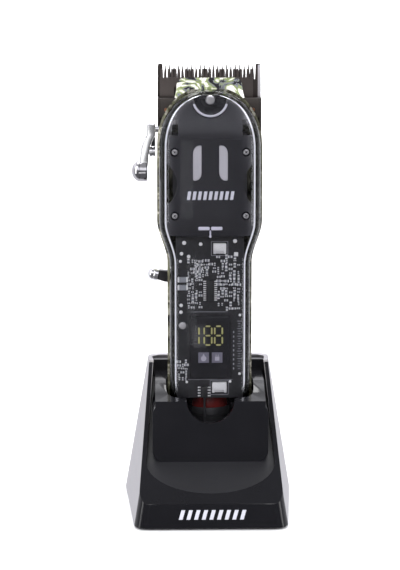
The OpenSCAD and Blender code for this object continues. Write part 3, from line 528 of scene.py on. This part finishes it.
def turned(name, profile, place, axis, sides=40):
    """A round part drawn out along its axis: profile is (radius, height) in mm from its base to its tip."""
    deselect()
    radius, height = profile[0]
    bpy.ops.mesh.primitive_circle_add(vertices=sides, radius=radius * MM, fill_type="NGON")
    piece = bpy.context.object
    piece.name = name
    for vertex in piece.data.vertices:
        vertex.co.z = height * MM
    edit_all(piece)
    for (radius, height), (next_radius, next_height) in zip(profile, profile[1:]):
        bpy.ops.mesh.extrude_region_move(TRANSFORM_OT_translate={"value": (0, 0,
            (next_height - height) * MM)})
        grow = next_radius / radius
        bpy.ops.transform.resize(value=(grow, grow, 1), center_override=(0, 0, next_height * MM))
    bpy.ops.mesh.select_all(action="SELECT")
    bpy.ops.mesh.normals_make_consistent(inside=False)
    bpy.ops.object.mode_set(mode="OBJECT")
    turns = {"z": Matrix(), "-z": Matrix.Rotation(pi, 4, "X"), "-y": Matrix.Rotation(pi / 2, 4, "X"),
             "y": Matrix.Rotation(-pi / 2, 4, "X"), "-x": Matrix.Rotation(-pi / 2, 4, "Y"),
             "x": Matrix.Rotation(pi / 2, 4, "Y")}
    piece.data.transform(Matrix.Translation(Vector(place) * MM) @ turns[axis])
    return piece


rear_screw_x, rear_screw_heights = 11.2, (46, 122)
for side in (-1, 1):
    for height in rear_screw_heights:
        cut(back, turned("screw_seat", [(2.4, 0), (2.4, 12)], (side * rear_screw_x, 13.3, height), "y"),
            turned("screw_hole", [(1.3, 0), (1.3, 12)], (side * rear_screw_x, 10, height), "y"))
cut(back, turned("lever_hole", [(1.66, 0), (1.66, 12)], (-18, 1.2, 174.9), "-x"))


def slot_outline(cx, cz, width, height, radius, steps=6):
    corners = ((1, 1, 0), (-1, 1, 90), (-1, -1, 180), (1, -1, 270))
    return [(cx + sx * (width / 2 - radius) + radius * cos(radians(start + 90 * i / steps)),
             cz + sz * (height / 2 - radius) + radius * sin(radians(start + 90 * i / steps)))
            for sx, sz, start in corners for i in range(steps + 1)]


for vent in range(-3, 4):
    cut(back, plate("vent", slot_outline(vent * 3.4, 150, 1.5, 14, 0.7), "y", 8, 24))
soften(back, 0, 30)


def join(name, *parts):
    deselect()
    for part in parts:
        part.select_set(True)
    bpy.context.view_layer.objects.active = parts[0]
    bpy.ops.object.join()
    parts[0].name = name
    return parts[0]


head_parts = [block("flank", (side * 22.875 - 0.475, 0.6, 172), (side * 22.875 + 0.475, 9, 188.8), 0.25)
              for side in (-1, 1)]
head_parts += [block("wall", (side * 14.425 - 7.975, 0.6, 180), (side * 14.425 + 7.975, 2.8, 188.8), 0.3)
               for side in (-1, 1)]
head_parts += [turned("boss", [(3, 0), (3, 6.7)], (side * 9.5, 2.3, 189), "y") for side in (-1, 1)]
head_parts += [block("boss_web", (side * 9.75 - 3.25, 0.6, 180), (side * 9.75 + 3.25, 2.8, 190))
               for side in (-1, 1)]
head_parts += [block("shoulder", (side * 21.68 - 0.78, 3.2, 175.5), (side * 21.68 + 0.78, 8.6, 181.5), 0.2)
               for side in (-1, 1)]
head = join("head_block", *head_parts)
soften(head, 0, 30)
head_coat = finish_of("head_graphite", (0.055, 0.047, 0.043), 0.36, metal=0.7, second=(0.075, 0.066, 0.060),
                      patch=80, grain=1500)
fit(head, head_coat, "clipper", "graphite_blade")
fit(back, camo_film, "clipper", "camo_metal", "back_shell")


# Nose cover. A pressed skin in the same mottled film, convex and very glossy, between the arch and the blade.
# Its mottle is partly the film's own pattern and partly painted reflection: the near-black and near-white
# patches.
# painted reflection: the darkest and whitest stops stand in for what the glossy nose mirrors; metallic is
# lowered below
nose_film_painted_reflection = mottled_film("nose_film_painted_reflection", 130, [(0.41, (0.008, 0.008, 0.010)), (0.44, (0.24, 0.25, 0.28)),
                                            (0.48, (0.20, 0.25, 0.09)),
                                            (0.525, (0.36, 0.42, 0.20)), (0.545, (0.88, 0.87, 0.78)),
                                            (0.64, (0.97, 0.96, 0.90))])
nose_film_painted_reflection.node_tree.nodes["Principled BSDF"].inputs["Metallic"].default_value = 0.15


def nose_point(u, v):
    along = 2 * u - 1
    shoulder = 1 if v < 0.72 else 1 - 0.24 * (1 - sqrt(max(0, 1 - ((v - 0.72) / 0.28) ** 2)))
    reach = (16.3 - 1.5 * smooth(v * 1.4)) * shoulder
    return (reach * along, -0.1 + 5.1 * v ** 2.1 + 2.4 * abs(along) ** 6 * (1 - v * 0.8), 185.2 + 12.4 * v)


deselect()
bpy.ops.mesh.primitive_grid_add(x_subdivisions=40, y_subdivisions=18, size=0.03)
nose = bpy.context.object
nose.name = "nose_skin"
for i, vertex in enumerate(nose.data.vertices):
    vertex.co = Vector(nose_point((i % 41) / 40, (i // 41) / 18)) * MM
edit_all(nose)
bpy.ops.mesh.normals_make_consistent(inside=False)
bpy.ops.object.mode_set(mode="OBJECT")
if nose.data.polygons[300].normal.y > 0:
    edit_all(nose)
    bpy.ops.mesh.flip_normals()
    bpy.ops.object.mode_set(mode="OBJECT")
apply_modifier(nose, "SOLIDIFY", thickness=0.6 * MM, offset=-1, use_even_offset=True)
soften(nose, 0.12, 50)
fit(nose, nose_film_painted_reflection, "clipper", "camo_metal", "nose_cover")


# Inner panel. A smoked satin moulding just under the clear cover. Its middle stands proud, the sides have dark
# cut-outs, and a scoop at the top clears the cover's screw.
smoked = finish_of("smoked_satin", (0.017, 0.0165, 0.020), 0.40, second=(0.023, 0.0225, 0.027), patch=35,
                   grain=700, bump=0.0006)
panel = body_sheet("panel_skin", -2.9, pi, 2 * pi, 128.4, 190.0)
bisect(panel, (0, -9.6, 0), (0, 1, 0))
apply_modifier(panel, "SOLIDIFY", thickness=1.3 * MM, offset=-1, use_even_offset=True)
proud = body_sheet("panel_middle", -2.62, 1.2 * pi, 1.8 * pi, 130.2, 172.0, columns=48)
for side in (-1, 1):
    bisect(proud, (side * 13.85, 0, 0), (side, 0, 0))
apply_modifier(proud, "SOLIDIFY", thickness=0.5 * MM, offset=-1, use_even_offset=True)


def window_outline(side, grow=0.0):
    """A tall window: two opposite corners are round and two are nearly square."""
    big, small = (2.7, 3.6), (0.5, 0.5)
    corners = ((1, 1, 0, small), (-1, 1, 90, big), (-1, -1, 180, small), (1, -1, 270, big))
    half_w, half_h = 2.0 + grow, 7.9 + grow
    outline = [(sx * (half_w - r) + r * cos(radians(start + 15 * i)),
                sz * (half_h - q) + q * sin(radians(start + 15 * i)))
               for sx, sz, start, (r, q) in corners for i in range(7)]
    outline = [(x - 5.8, z + 161.5) for x, z in outline]
    return outline if side < 0 else [(-x, z) for x, z in reversed(outline)]


for side in (-1, 1):
    for skin in (panel, proud):
        cut(skin, plate("window_hole", window_outline(side), "y", -30, -8))
    cut(panel, turned("side_lens", [(11.8, 0), (11.8, 30)], (side * 26.6, -31, 151.5), "y", 64),
        block("side_pocket", (side * 16.7 - 2.4, -31, 173.6), (side * 16.7 + 2.4, -9, 180.4)))
for skin in (panel, proud):
    cut(skin, plate("bar_hole", slot_outline(0, 132, 11.0, 1.7, 0.6), "y", -30, -8),
        plate("stem_hole", slot_outline(0, 129.8, 1.6, 4.0, 0.6), "y", -30, -8))
cut(panel, turned("scoop", [(7.4, 0), (7.4, 30)], (0, -31, 189.8), "y", 72))
soften(panel, 0, 30)
soften(proud, 0.12, 40)
fit(panel, smoked, "clipper", "panel_black", "inner_panel")
fit(proud, smoked, "clipper", "panel_black")

# Painted highlight round the scoop: a pale arc, leaning back with the panel, stands in for the light caught on
# the scoop's edge. Inside it, a stepped dark boss holds the nut of the cover's screw.
cover_screw_z = 189.2
arc = [radians(196 + 4 * i) for i in range(38)]
lip = plate("scoop_painted_highlight_arc", [(8.0 * cos(t), 8.0 * sin(t)) for t in arc] + [(7.05 * cos(t), 7.05 * sin(t))
    for t in reversed(arc)],
            "y", -0.95, 0.1)
lip.data.transform(Matrix.Translation(Vector((0, -11.7, cover_screw_z)) * MM) @ Matrix.Rotation(radians(-19),
    4, "X"))
soften(lip, 0.08, 40)
# painted highlight: pale grey for the light caught on the scoop's edge
lip_painted_highlight = finish_of("lip_painted_highlight", (0.48, 0.48, 0.54), 0.3, second=(0.38, 0.38, 0.43), grain=2200)
fit(lip, lip_painted_highlight, "clipper", "panel_black")
boss = turned("screw_boss", [(7.2, 0), (7.2, 0.5), (6.6, 0.9), (6.0, 0.6), (4.6, 0.6), (4.1, 1.3), (3.0, 1.5),
                             (2.8, 1.0)],
              (0, -8.9, cover_screw_z), "-y", 64)
bisect(boss, (0, 0, 191.0), (0, 0, 1), fill=True)
soften(boss, 0.08, 30)
boss_black = finish_of("boss_black", (0.012, 0.012, 0.014), 0.22, grain=2000)
fit(boss, boss_black, "clipper", "panel_black")

# Window panes. Two pale panes sit in the panel's windows and show lighter than all round them: painted light
# for the lit motor can that shows through the windows.
# painted light: pale grey standing in for the lit motor can behind the windows
pane_painted_light = finish_of("pane_painted_light", (0.50, 0.49, 0.52), 0.42, metal=0.1, second=(0.36, 0.35, 0.38), patch=50,
                      grain=2600)
for side, word in ((-1, "left"), (1, "right")):
    pane = plate(f"window_painted_light_{word}", window_outline(side, -0.08), "y", -15.9, -15.2)
    soften(pane, 0.15, 40)
    fit(pane, pane_painted_light, "clipper", "light_diffuser")

# Screws. Pan heads of zinc plated steel with a cross recess: a big one through the nose of the cover, four small
# ones in the panel's bosses and four from the back. The board's screw comes with the board.
bright_steel = finish_of("bright_steel", (0.72, 0.71, 0.72), 0.24, metal=0.7, second=(0.5, 0.49, 0.5),
                         grain=3000, bump=0.002)


def screw(name, x, y, z, radius, height, length, turn, axis="-y"):
    head = turned(name, [(radius * 0.94, 0), (radius, height * 0.2), (radius, height * 0.5),
                         (radius * 0.85, height * 0.85),
                         (radius * 0.5, height), (radius * 0.05, height)], (0, 0, 0), "z", 32)
    for quarter in (0, 90):
        blade = block("driver", (-radius * 0.62, -radius * 0.13, height * 0.45),
                      (radius * 0.62, radius * 0.13, height * 1.5))
        blade.data.transform(Matrix.Rotation(radians(turn + quarter), 4, "Z"))
        cut(head, blade)
    shank = turned("shank", [(radius * 0.46, -length), (radius * 0.46, 0.02)], (0, 0, 0), "z", 20)
    whole = join(name, head, shank)
    lean = {"-y": pi / 2, "y": -pi / 2}[axis]
    whole.data.transform(Matrix.Translation(Vector((x, y, z)) * MM) @ Matrix.Rotation(lean, 4, "X"))
    soften(whole, 0, 35)
    return whole


fit(screw("nose_screw", 0, -11.2, cover_screw_z, 2.1, 1.15, 10, 28), bright_steel, "clipper", "steel_screws",
    "cover_screw")
panel_screw_x, panel_screw_heights = 15.9, (137.7, 166.3)
panel_heads = [screw("panel_head", side * panel_screw_x, -14.75, height, 1.3, 0.65, 3.4,
                     20 + 31 * side + height)
               for side in (-1, 1) for height in panel_screw_heights]
fit(join("panel_screw_set", *panel_heads), bright_steel, "clipper", "steel_screws", "panel_screws")
rings = [turned("ring", [(2.0, 0), (2.0, 0.5), (1.85, 0.6), (1.35, 0.3)],
                (side * panel_screw_x, -14.85, height), "-y", 32)
         for side in (-1, 1) for height in panel_screw_heights]
ring_set = join("screw_rings", *rings)
soften(ring_set, 0, 30)
fit(ring_set, boss_black, "clipper", "panel_black")
rear_heads = [screw("rear_head", side * rear_screw_x, 13.3, height, 2.2, 1.0, 6, 12 + height * side, "y")
              for side in (-1, 1) for height in rear_screw_heights]
fit(join("rear_screw_set", *rear_heads), bright_steel, "clipper", "steel_screws", "rear_screws")

# Printed bars on the panel and the T-shaped light guide under them. The bars are pad printed; the guide is a
# frosted acrylic moulding in two halves with a stem down to its lamp.
bars = [plate("bar", [(i * 2.4 + dx, 147 + dz) for dx, dz in ((-0.9, -1.9), (0.5, -1.9), (1.1, 1.9),
    (-0.3, 1.9))], "y",
              -16.46, -16.2) for i in range(-4, 5)]
badge = join("panel_bars", *bars)
soften(badge, 0.03, 40)
fit(badge, pale_ink, "clipper", "pale_print", "panel_badge")
frosted = finish_of("frosted_acrylic", (0.52, 0.51, 0.60), 0.35, second=(0.44, 0.43, 0.52), grain=2400)
halves = [plate("half", slot_outline(side * 2.85, 132.2, 5.0, 1.5, 0.45), "y", -16.2, -14.6)
          for side in (-1, 1)]
halves += [plate("stem", slot_outline(0, 129.9, 0.7, 2.6, 0.3), "y", -16.15, -14.6),
           turned("lamp", [(0.55, 0), (0.55, 0.6), (0.3, 0.8)], (0, -15.3, 128.5), "-y", 20)]
guide = join("light_guide", *halves)
soften(guide, 0.08, 40)
fit(guide, frosted, "clipper", "light_diffuser", "light_bar")


# Blades. Hardened steel with a graphite or bronze coating. The fixed blade's tapered teeth stand over the moving
# blade, a shorter comb in front. Two screws hold the fixed blade; a pale strip up its right end is a painted
# highlight.
graphite = finish_of("graphite_coating", (0.075, 0.062, 0.056), 0.34, metal=0.85, second=(0.10, 0.086, 0.080),
                     patch=80,
                     grain=2600, stretch=(0.12, 1, 1), bump=0.002)
bronze = finish_of("bronze_coating", (0.14, 0.118, 0.110), 0.30, metal=0.9, second=(0.19, 0.165, 0.155),
                   patch=90,
                   grain=2600, stretch=(0.12, 1, 1), bump=0.002)
fit(from_cad("fixed_blade", "fixed_blade_ground", 0.05), graphite, "clipper", "graphite_blade", "fixed_blade")
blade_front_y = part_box("fixed_blade")[0][1] / MM
# painted highlight: a pale steel strip stands in for the light caught on the fixed blade's right flank
highlight_strip = block("blade_painted_highlight_strip", (21.98, blade_front_y - 0.1, 182), (23.2, blade_front_y + 0.25, 203.0), 0.05)
soften(highlight_strip, 0, 40)
blade_highlight_finish = finish_of("painted_highlight_steel", (0.50, 0.48, 0.50), 0.35, metal=0.35, second=(0.42, 0.40, 0.42),
                       grain=2600, stretch=(1, 1, 0.1))
fit(highlight_strip, blade_highlight_finish, "clipper", "graphite_blade")
fit(from_cad("moving_blade", "moving_blade_ground", 0.04), bronze, "cutter", "bronze_blade", "moving_blade")

# Taper lever. Polished zinc casting, chrome plated: a curved arm with rounded edges, a domed knob at its end, a
# headed screw through it and a black rubber bumper behind.
chrome = finish_of("polished_chrome", (0.86, 0.86, 0.88), 0.08, metal=1.0, second=(0.80, 0.80, 0.82),
                   grain=1200, spread=0.02,
                   bump=0.0006)
arm_outline = ((-24.3, 177.4), (-27.7, 177.4), (-28.2, 176.9), (-28.2, 172.4), (-29.5, 170.2), (-30.8, 166.5),
               (-31.4, 161.6),
               (-31.4, 158), (-27.8, 158), (-27.6, 161.6), (-27.2, 165), (-26.4, 168.2), (-25.4, 170.8),
               (-24.3, 172.2))
arm = plate("lever_arm", arm_outline, "y", -1.4, 3.8)
soften(arm, 0.55, 50, 3)
shaft = turned("lever_shaft", [(1.6, 0), (1.6, 4.3)], (-20, 1.2, 174.9), "-x", 32)
crank = from_cad("taper_lever", "lever_crank", 0)
bisect(crank, (-22, 0, 0), (-1, 0, 0), fill=True)
lever = join("lever_arm", arm, shaft, crank)
soften(lever, 0, 40)
fit(lever, chrome, "lever", "chrome_lever", "taper_lever")
knob = turned("lever_knob_dome", [(3.9, 0), (4.55, 0.25), (4.75, 0.7), (4.75, 3.1), (4.62, 3.3), (4.62, 3.5),
                                  (4.75, 3.7), (4.6, 4.3),
                                  (4.2, 5.1), (3.5, 5.9), (2.5, 6.6), (1.3, 7.0), (0.1, 7.12)],
                                  (-27.9, 1.2, 155.9), "-x", 48)
cut(knob, block("arm_socket", (-31.45, -1.45, 157.9), (-27, 3.85, 170)),
    block("knob_mark", (-31.9, -6, 155.1), (-28.8, -2.4, 155.9)))
soften(knob, 0, 35)
knob_chrome = finish_of("knob_chrome", (0.62, 0.61, 0.63), 0.10, metal=1.0, second=(0.56, 0.55, 0.57),
                        grain=1200, spread=0.02, bump=0.0006)
fit(knob, knob_chrome, "lever", "chrome_knob", "lever_knob")
pivot_screw = turned("lever_screw_head", [(2.1, 0), (2.3, 0.2), (2.3, 0.9), (1.9, 1.05), (1.9, 1.3),
                                          (2.3, 1.45), (2.3, 2.75),
                                          (1.0, 2.8), (1.0, 4.4), (0.7, 4.5)], (-24.3, 1.2, 164.6), "-x", 40)
soften(pivot_screw, 0, 35)
fit(pivot_screw, chrome, "lever", "chrome_lever", "lever_screw")
soft_black = finish_of("soft_black", (0.012, 0.012, 0.013), 0.6, grain=1800, bump=0.008, specular=0.3)
fit(from_cad("lever_bumper", "lever_bumper_rubber", 0.25), soft_black, "lever", "black_matte", "lever_bumper")

# Power switch. A gloss black paddle tilted up in its slot, with a chromed dome pressed on its end.
paddle = from_cad("switch_paddle", "switch_paddle_moulding", 0.3, 35)
fit(paddle, gloss_black, "toggle", "black_gloss", "switch_paddle")
dome = turned("switch_dome", [(2.6, 0), (2.95, 0.3), (2.95, 2.0), (2.8, 2.2), (2.8, 2.4), (2.95, 2.6),
                              (2.8, 3.3), (2.3, 4.05),
                              (1.5, 4.6), (0.7, 4.85), (0.05, 4.9)], (0, 0, 0), "-x", 40)
tilt = (Matrix.Translation(Vector((-14.8, 3.4, 106.6)) * MM) @ Matrix.Rotation(radians(11), 4, "Y")
        @ Matrix.Translation(Vector((-8.4, 0, 0)) * MM))
dome.data.transform(tilt)
soften(dome, 0, 35)
fit(dome, chrome, "toggle", "chrome_lever", "switch_cap")


# Circuit board. Black solder mask on glass fibre over faint copper tracks, with tinned pads, a driver chip,
# chip parts, two connectors and a screw. All of them are soldered to the side that faces the cover.
solder_mask = finish_of("black_solder_mask", (0.011, 0.011, 0.012), 0.32, second=(0.016, 0.016, 0.018),
                        grain=900, bump=0.001)
mask_nodes, mask_links = solder_mask.node_tree.nodes, solder_mask.node_tree.links
tracks = mask_nodes.new("ShaderNodeTexVoronoi")
tracks.feature = "DISTANCE_TO_EDGE"
tracks.distance = "MANHATTAN"
tracks.inputs["Scale"].default_value = 420
thin = mask_nodes.new("ShaderNodeMapRange")
thin.inputs["From Min"].default_value = 0.02
thin.inputs["From Max"].default_value = 0.06
thin.inputs["To Min"].default_value = 1.0
thin.inputs["To Max"].default_value = 0.0
copper = mask_nodes.new("ShaderNodeMix")
copper.data_type = "RGBA"
copper.inputs["B"].default_value = (0.022, 0.022, 0.025, 1)
mask_links.new(mask_nodes["Texture Coordinate"].outputs["Object"], tracks.inputs["Vector"])
mask_links.new(tracks.outputs["Distance"], thin.inputs["Value"])
mask_links.new(thin.outputs["Result"], copper.inputs["Factor"])
mask_links.new(mask_nodes["Mix"].outputs["Result"], copper.inputs["A"])
mask_links.new(copper.outputs["Result"], mask_nodes["Principled BSDF"].inputs["Base Color"])
board = from_cad("circuit_board", "circuit_board_masked", 0.15)
fit(board, solder_mask, "clipper", "board_black", "circuit_board")

face = -10.2
tin = finish_of("tinned_solder", (0.74, 0.74, 0.74), 0.32, metal=0.25, second=(0.52, 0.52, 0.53), grain=2600)
ceramic = finish_of("chip_ceramic", (0.13, 0.14, 0.16), 0.5, second=(0.26, 0.27, 0.29), patch=500, grain=3000)
epoxy = finish_of("moulded_epoxy", (0.014, 0.014, 0.015), 0.45, second=(0.02, 0.02, 0.021), grain=2600,
                  bump=0.004)


def part_on_board(x, z, width, height, thick, edge=0.06):
    return block("part", (x - width / 2, face - thick, z - height / 2),
                 (x + width / 2, face + 0.02, z + height / 2), edge)


chooser = random.Random(11)
bodies, ends = [], []


def chip_part(x, z, upright, size):
    long, wide, thick = size, size * 0.55, size * 0.4
    width, height = (wide, long) if upright else (long, wide)
    bodies.append(part_on_board(x, z, width * (1 if upright else 0.6), height * (0.6 if upright else 1),
                                thick))
    for side in (-1, 1):
        shift = long * 0.4 * side
        ends.append(part_on_board(x + (0 if upright else shift), z + (shift if upright else 0), width
                                  if upright else long * 0.22,
                                  long * 0.22 if upright else height, thick * 1.05, 0.04))


# left and right fields of small parts, then the loose ones lower down
for left, right, low, high, step in ((-9.6, -2.9, 95.5, 117.5, 1.75), (3.8, 14.2, 95.0, 118.5, 1.8),
                                     (-14, -10.6, 62.5, 71, 1.6),
                                     (-6.5, 3.0, 110.0, 118.5, 1.7)):
    x = left
    while x < right:
        z = low
        while z < high:
            if chooser.random() < 0.74:
                chip_part(x + chooser.uniform(-0.2, 0.2), z + chooser.uniform(-0.2, 0.2),
                          chooser.random() < 0.5,
                          chooser.choice((1.1, 1.3, 1.6, 1.9)))
            z += step
        x += step
for x, z in ((-12.3, 104.6), (-12.3, 108.2)):
    bodies.append(part_on_board(x, z, 3.2, 2.4, 1.5, 0.2))
    for side in (-1, 1):
        ends.append(part_on_board(x + side * 1.9, z, 0.8, 2.2, 1.4, 0.1))
small_bodies = join("chip_part_bodies", *bodies)
soften(small_bodies, 0, 35)
fit(small_bodies, ceramic, "clipper", "chip_black")
pads = [turned("pad", [(radius, 0), (radius, 0.16), (radius * 0.7, 0.3), (radius * 0.2, 0.34)],
               (x, face + 0.02, z), "-y", 18)
        for x, z, radius in ((-11.6, 124.8, 0.9), (-4.2, 124.2, 0.8), (11.2, 125.6, 0.9), (-12.8, 119.9, 0.8),
                             (-9.6, 118.6, 0.8),
                             (13.5, 91.8, 0.6), (13.4, 64.8, 0.6), (-10.5, 61, 0.6), (9.1, 61.2, 0.6),
                             (-13, 96.3, 0.8),
                             (-13.1, 93.2, 0.8), (-13.3, 116.4, 0.7))]
ends.append(part_on_board(11.7, 119.6, 1.8, 1.8, 0.3))
small_ends = join("tinned_ends", *ends)
soften(small_ends, 0, 35)
fit(small_ends, tin, "clipper", "solder_tin", "board_passives")
pad_set = join("tinned_pads", *pads)
soften(pad_set, 0, 35)
fit(pad_set, tin, "clipper", "solder_tin", "board_pads")

chips = [part_on_board(0.1, 103.0, 3.6, 9.6, 1.2, 0.15), part_on_board(-2.6, 56.6, 3.2, 5, 1.1, 0.15)]
legs = [part_on_board(0.1 + side * 2.45, 103.0 + (row - 4.5) * 0.95, 1.3, 0.42, 0.35, 0.05)
        for row in range(10) for side in (-1, 1)]
legs += [part_on_board(-2.6 + side * 2.2, 56.6 + (row - 1.5) * 1.3, 1.4, 0.5, 0.35, 0.05) for row in range(4)
         for side in (-1, 1)]
chip_set = join("epoxy_chips", *chips)
soften(chip_set, 0, 35)
fit(chip_set, epoxy, "clipper", "chip_black", "board_chips")
leg_set = join("chip_legs", *legs)
soften(leg_set, 0, 35)
fit(leg_set, tin, "clipper", "solder_tin")

# Connectors: folded tin-plated shells with an open mouth, each in a printed outline on the board; their white
# plastic tongues are not modelled.
shells = []
for x, z, width, height in ((4.3, 122.4, 5.8, 4.8), (4.2, 58.8, 6.6, 4.8)):
    shell_box = part_on_board(x, z, width, height, 2.1, 0.35)
    cut(shell_box, block("mouth", (x - width * 0.32, face - 3, z - height * 0.5 - 1),
                         (x + width * 0.32, face - 0.5, z - height * 0.22)))
    shells.append(shell_box)
connectors = join("connector_shells", *shells)
soften(connectors, 0, 35)
fit(connectors, tin, "clipper", "solder_tin", "board_connectors")
lines = []
for x, z, width, height in ((4.3, 122.2, 7.4, 6.4), (4.2, 58.4, 8.2, 6.4)):
    for side in (-1, 1):
        lines.append(part_on_board(x + side * width / 2, z, 0.18, height, 0.05, 0))
        lines.append(part_on_board(x, z + side * height / 2, width, 0.18, 0.05, 0))
lines += [part_on_board(-0.6, 93.3, 17, 0.16, 0.05, 0), part_on_board(0.2, 62.1, 20, 0.16, 0.05, 0)]
lines += [part_on_board(13.2, 89 - i * 1.15, 1.1 if i % 3 else 1.9, 0.22, 0.05, 0) for i in range(20)]
lines += [part_on_board(10.7, 84 - i * 2.1, 0.5, 0.9, 0.05, 0) for i in range(9)]
silk = join("board_printing", *lines)
soften(silk, 0)
silk_ink = finish_of("silk_screen_ink", (0.30, 0.30, 0.33), 0.6, second=(0.22, 0.22, 0.25), grain=3000)
fit(silk, silk_ink, "clipper", "pale_print")
fit(screw("board_fixing", -12.3, face, 87.1, 1.7, 1.0, 4, 35), bright_steel, "clipper", "steel_screws",
    "board_screw")

# Display. A smoked film over the segment module; the unlit segments show amber through it, with two plain
# square symbols under them.
film = finish_of("smoked_film", (0.011, 0.011, 0.013), 0.12, second=(0.017, 0.017, 0.019), grain=500,
                 spread=0.03, bump=0.0006)
screen = part_on_board(0, 77.2, 18.2, 28.4, 1.6, 0.25)
screen.name = "display_screen"
soften(screen, 0, 35)
fit(screen, film, "clipper", "display_film", "display_module")
amber = finish_of("amber_segments", (0.34, 0.33, 0.12), 0.4, second=(0.27, 0.26, 0.09), grain=2600)


def segment(x, z, long, upright):
    half, wide = long / 2, 0.36
    outline = [(-half, 0), (wide - half, -wide), (half - wide, -wide), (half, 0), (half - wide, wide),
               (wide - half, wide)]
    return plate("segment", [(x + q, z + p) if upright else (x + p, z + q) for p, q in outline], "y",
                 face - 1.70, face - 1.58)


digits_z = 82.7
digits = [segment(-5.0, digits_z + half * 2.15, 3.4, True) for half in (-1, 1)]
for centre in (-0.95, 3.8):
    digits += [segment(centre + side * 1.7, digits_z + half * 2.15, 3.3, True) for side in (-1, 1)
               for half in (-1, 1)]
    digits += [segment(centre, digits_z + row * 4.3, 2.4, False) for row in (-1, 0, 1)]
fit(join("display_segments", *digits), amber, "clipper", "display_glow", "display_digits")
symbol_grey = finish_of("symbol_grey", (0.125, 0.12, 0.155), 0.5, second=(0.10, 0.097, 0.13), grain=2600)
fit(from_cad("display_icons", "display_symbols", 0.05), symbol_grey, "clipper", "display_icon",
    "display_icons")
left_symbol_x = -2.9
marks = [turned("mark", [(1.3, 0), (1.2, 0.06)], (left_symbol_x, face - 1.7, 72.2), "-y", 24),
         plate("mark", [(left_symbol_x + dx, z) for dx, z in ((-0.55, 73.3), (0.55, 73.3), (0.05, 74.4),
             (-0.05, 74.4))], "y", face - 1.76, face - 1.7),
         block("mark", (2.2, face - 1.76, 71.2), (4.2, face - 1.7, 73.0)),
         block("mark", (2.6, face - 1.76, 73.0), (2.85, face - 1.7, 74.0)),
         block("mark", (3.55, face - 1.76, 73.0), (3.8, face - 1.7, 74.0))]
symbols = join("symbol_marks", *marks)
soften(symbols, 0)
mark_ink = finish_of("mark_ink", (0.34, 0.33, 0.38), 0.5, second=(0.28, 0.27, 0.32), grain=2600)
fit(symbols, mark_ink, "clipper", "display_icon")

# Battery cell. A steel can in a dark red shrink sleeve, with a black moulded cap pushed on its lower end. Both
# show through the notch in the stand. It lies in the chassis behind the board.
sleeve = finish_of("red_shrink_sleeve", (0.13, 0.014, 0.012), 0.24, second=(0.09, 0.009, 0.008), patch=90,
                   grain=900, coat=0.3)
cell = turned("battery_sleeve", [(6.2, 48.0), (9.1, 48.05), (9.2, 48.4), (9.2, 50.0), (9.2, 102.0),
                                 (9.0, 102.6), (8.4, 102.95), (6.2, 103.0),
                                 (6.0, 102.7), (2.9, 102.7), (2.8, 103.7), (2.4, 103.8)], (0, 3.4, 0), "z",
                                 56)
soften(cell, 0, 35)
fit(cell, sleeve, "clipper", "battery_wrap", "battery_cell")
cap = turned("battery_end_cap", [(6.2, 38.0), (8.2, 38.1), (8.7, 38.6), (8.8, 39.4), (8.8, 44.0),
                                 (9.15, 44.4), (9.15, 47.5), (8.8, 48.0)],
             (0, 3.4, 0), "z", 56)
soften(cap, 0, 35)
fit(cap, epoxy, "clipper", "battery_wrap")

# Parts that keep their moulded or turned shape: each gets the finish of its own material.
dark_nylon = finish_of("dark_nylon", (0.022, 0.022, 0.024), 0.5, second=(0.028, 0.028, 0.030), grain=1600,
                       bump=0.006, specular=0.4)
nickel = finish_of("nickel_plate", (0.46, 0.45, 0.46), 0.26, metal=1.0, second=(0.38, 0.37, 0.38), grain=1500,
                   stretch=(1, 1, 0.1))
gold = finish_of("gold_plate", (0.72, 0.52, 0.20), 0.22, metal=1.0, second=(0.62, 0.43, 0.15), grain=1800)
acetal = finish_of("natural_acetal", (0.66, 0.63, 0.55), 0.45, second=(0.60, 0.57, 0.49), grain=1500)
cast = finish_of("cast_iron", (0.09, 0.09, 0.095), 0.62, metal=0.6, second=(0.13, 0.125, 0.12), patch=120,
                 grain=700, bump=0.03)
green_mask = finish_of("green_solder_mask", (0.012, 0.07, 0.028), 0.35, second=(0.010, 0.055, 0.022),
                       grain=900)
copper_wire = finish_of("copper_wire", (0.45, 0.22, 0.14), 0.3, metal=1.0, second=(0.36, 0.17, 0.10),
                        grain=1500)
red_lead = finish_of("lead_insulation", (0.22, 0.015, 0.015), 0.35, second=(0.17, 0.010, 0.010), grain=900)
foot_rubber = finish_of("foot_rubber", (0.016, 0.016, 0.016), 0.85, second=(0.024, 0.024, 0.023), patch=200,
                        grain=1400, bump=0.02)
kept = {"stand_base_plate": dark_nylon, "stand_weight": cast, "stand_feet": foot_rubber,
        "stand_screws": bright_steel,
        "stand_charge_board": green_mask, "stand_inlet": dark_nylon, "charge_pin_left": gold,
        "charge_pin_right": gold,
        "chassis": dark_nylon, "charge_contacts": gold, "motor_can": nickel, "motor_bracket": dark_nylon,
        "motor_screws": bright_steel, "motor_leads": red_lead, "motor_rotor": nickel, "drive_fork": acetal,
        "blade_screws": bright_steel, "taper_carriage": nickel, "spring_anchors": copper_wire,
        "switch_body": dark_nylon,
        "battery_tabs": nickel, "battery_leads": dark_nylon}
for node, finish in kept.items():
    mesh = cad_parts[node].data
    mesh.materials.clear()
    mesh.materials.append(finish)
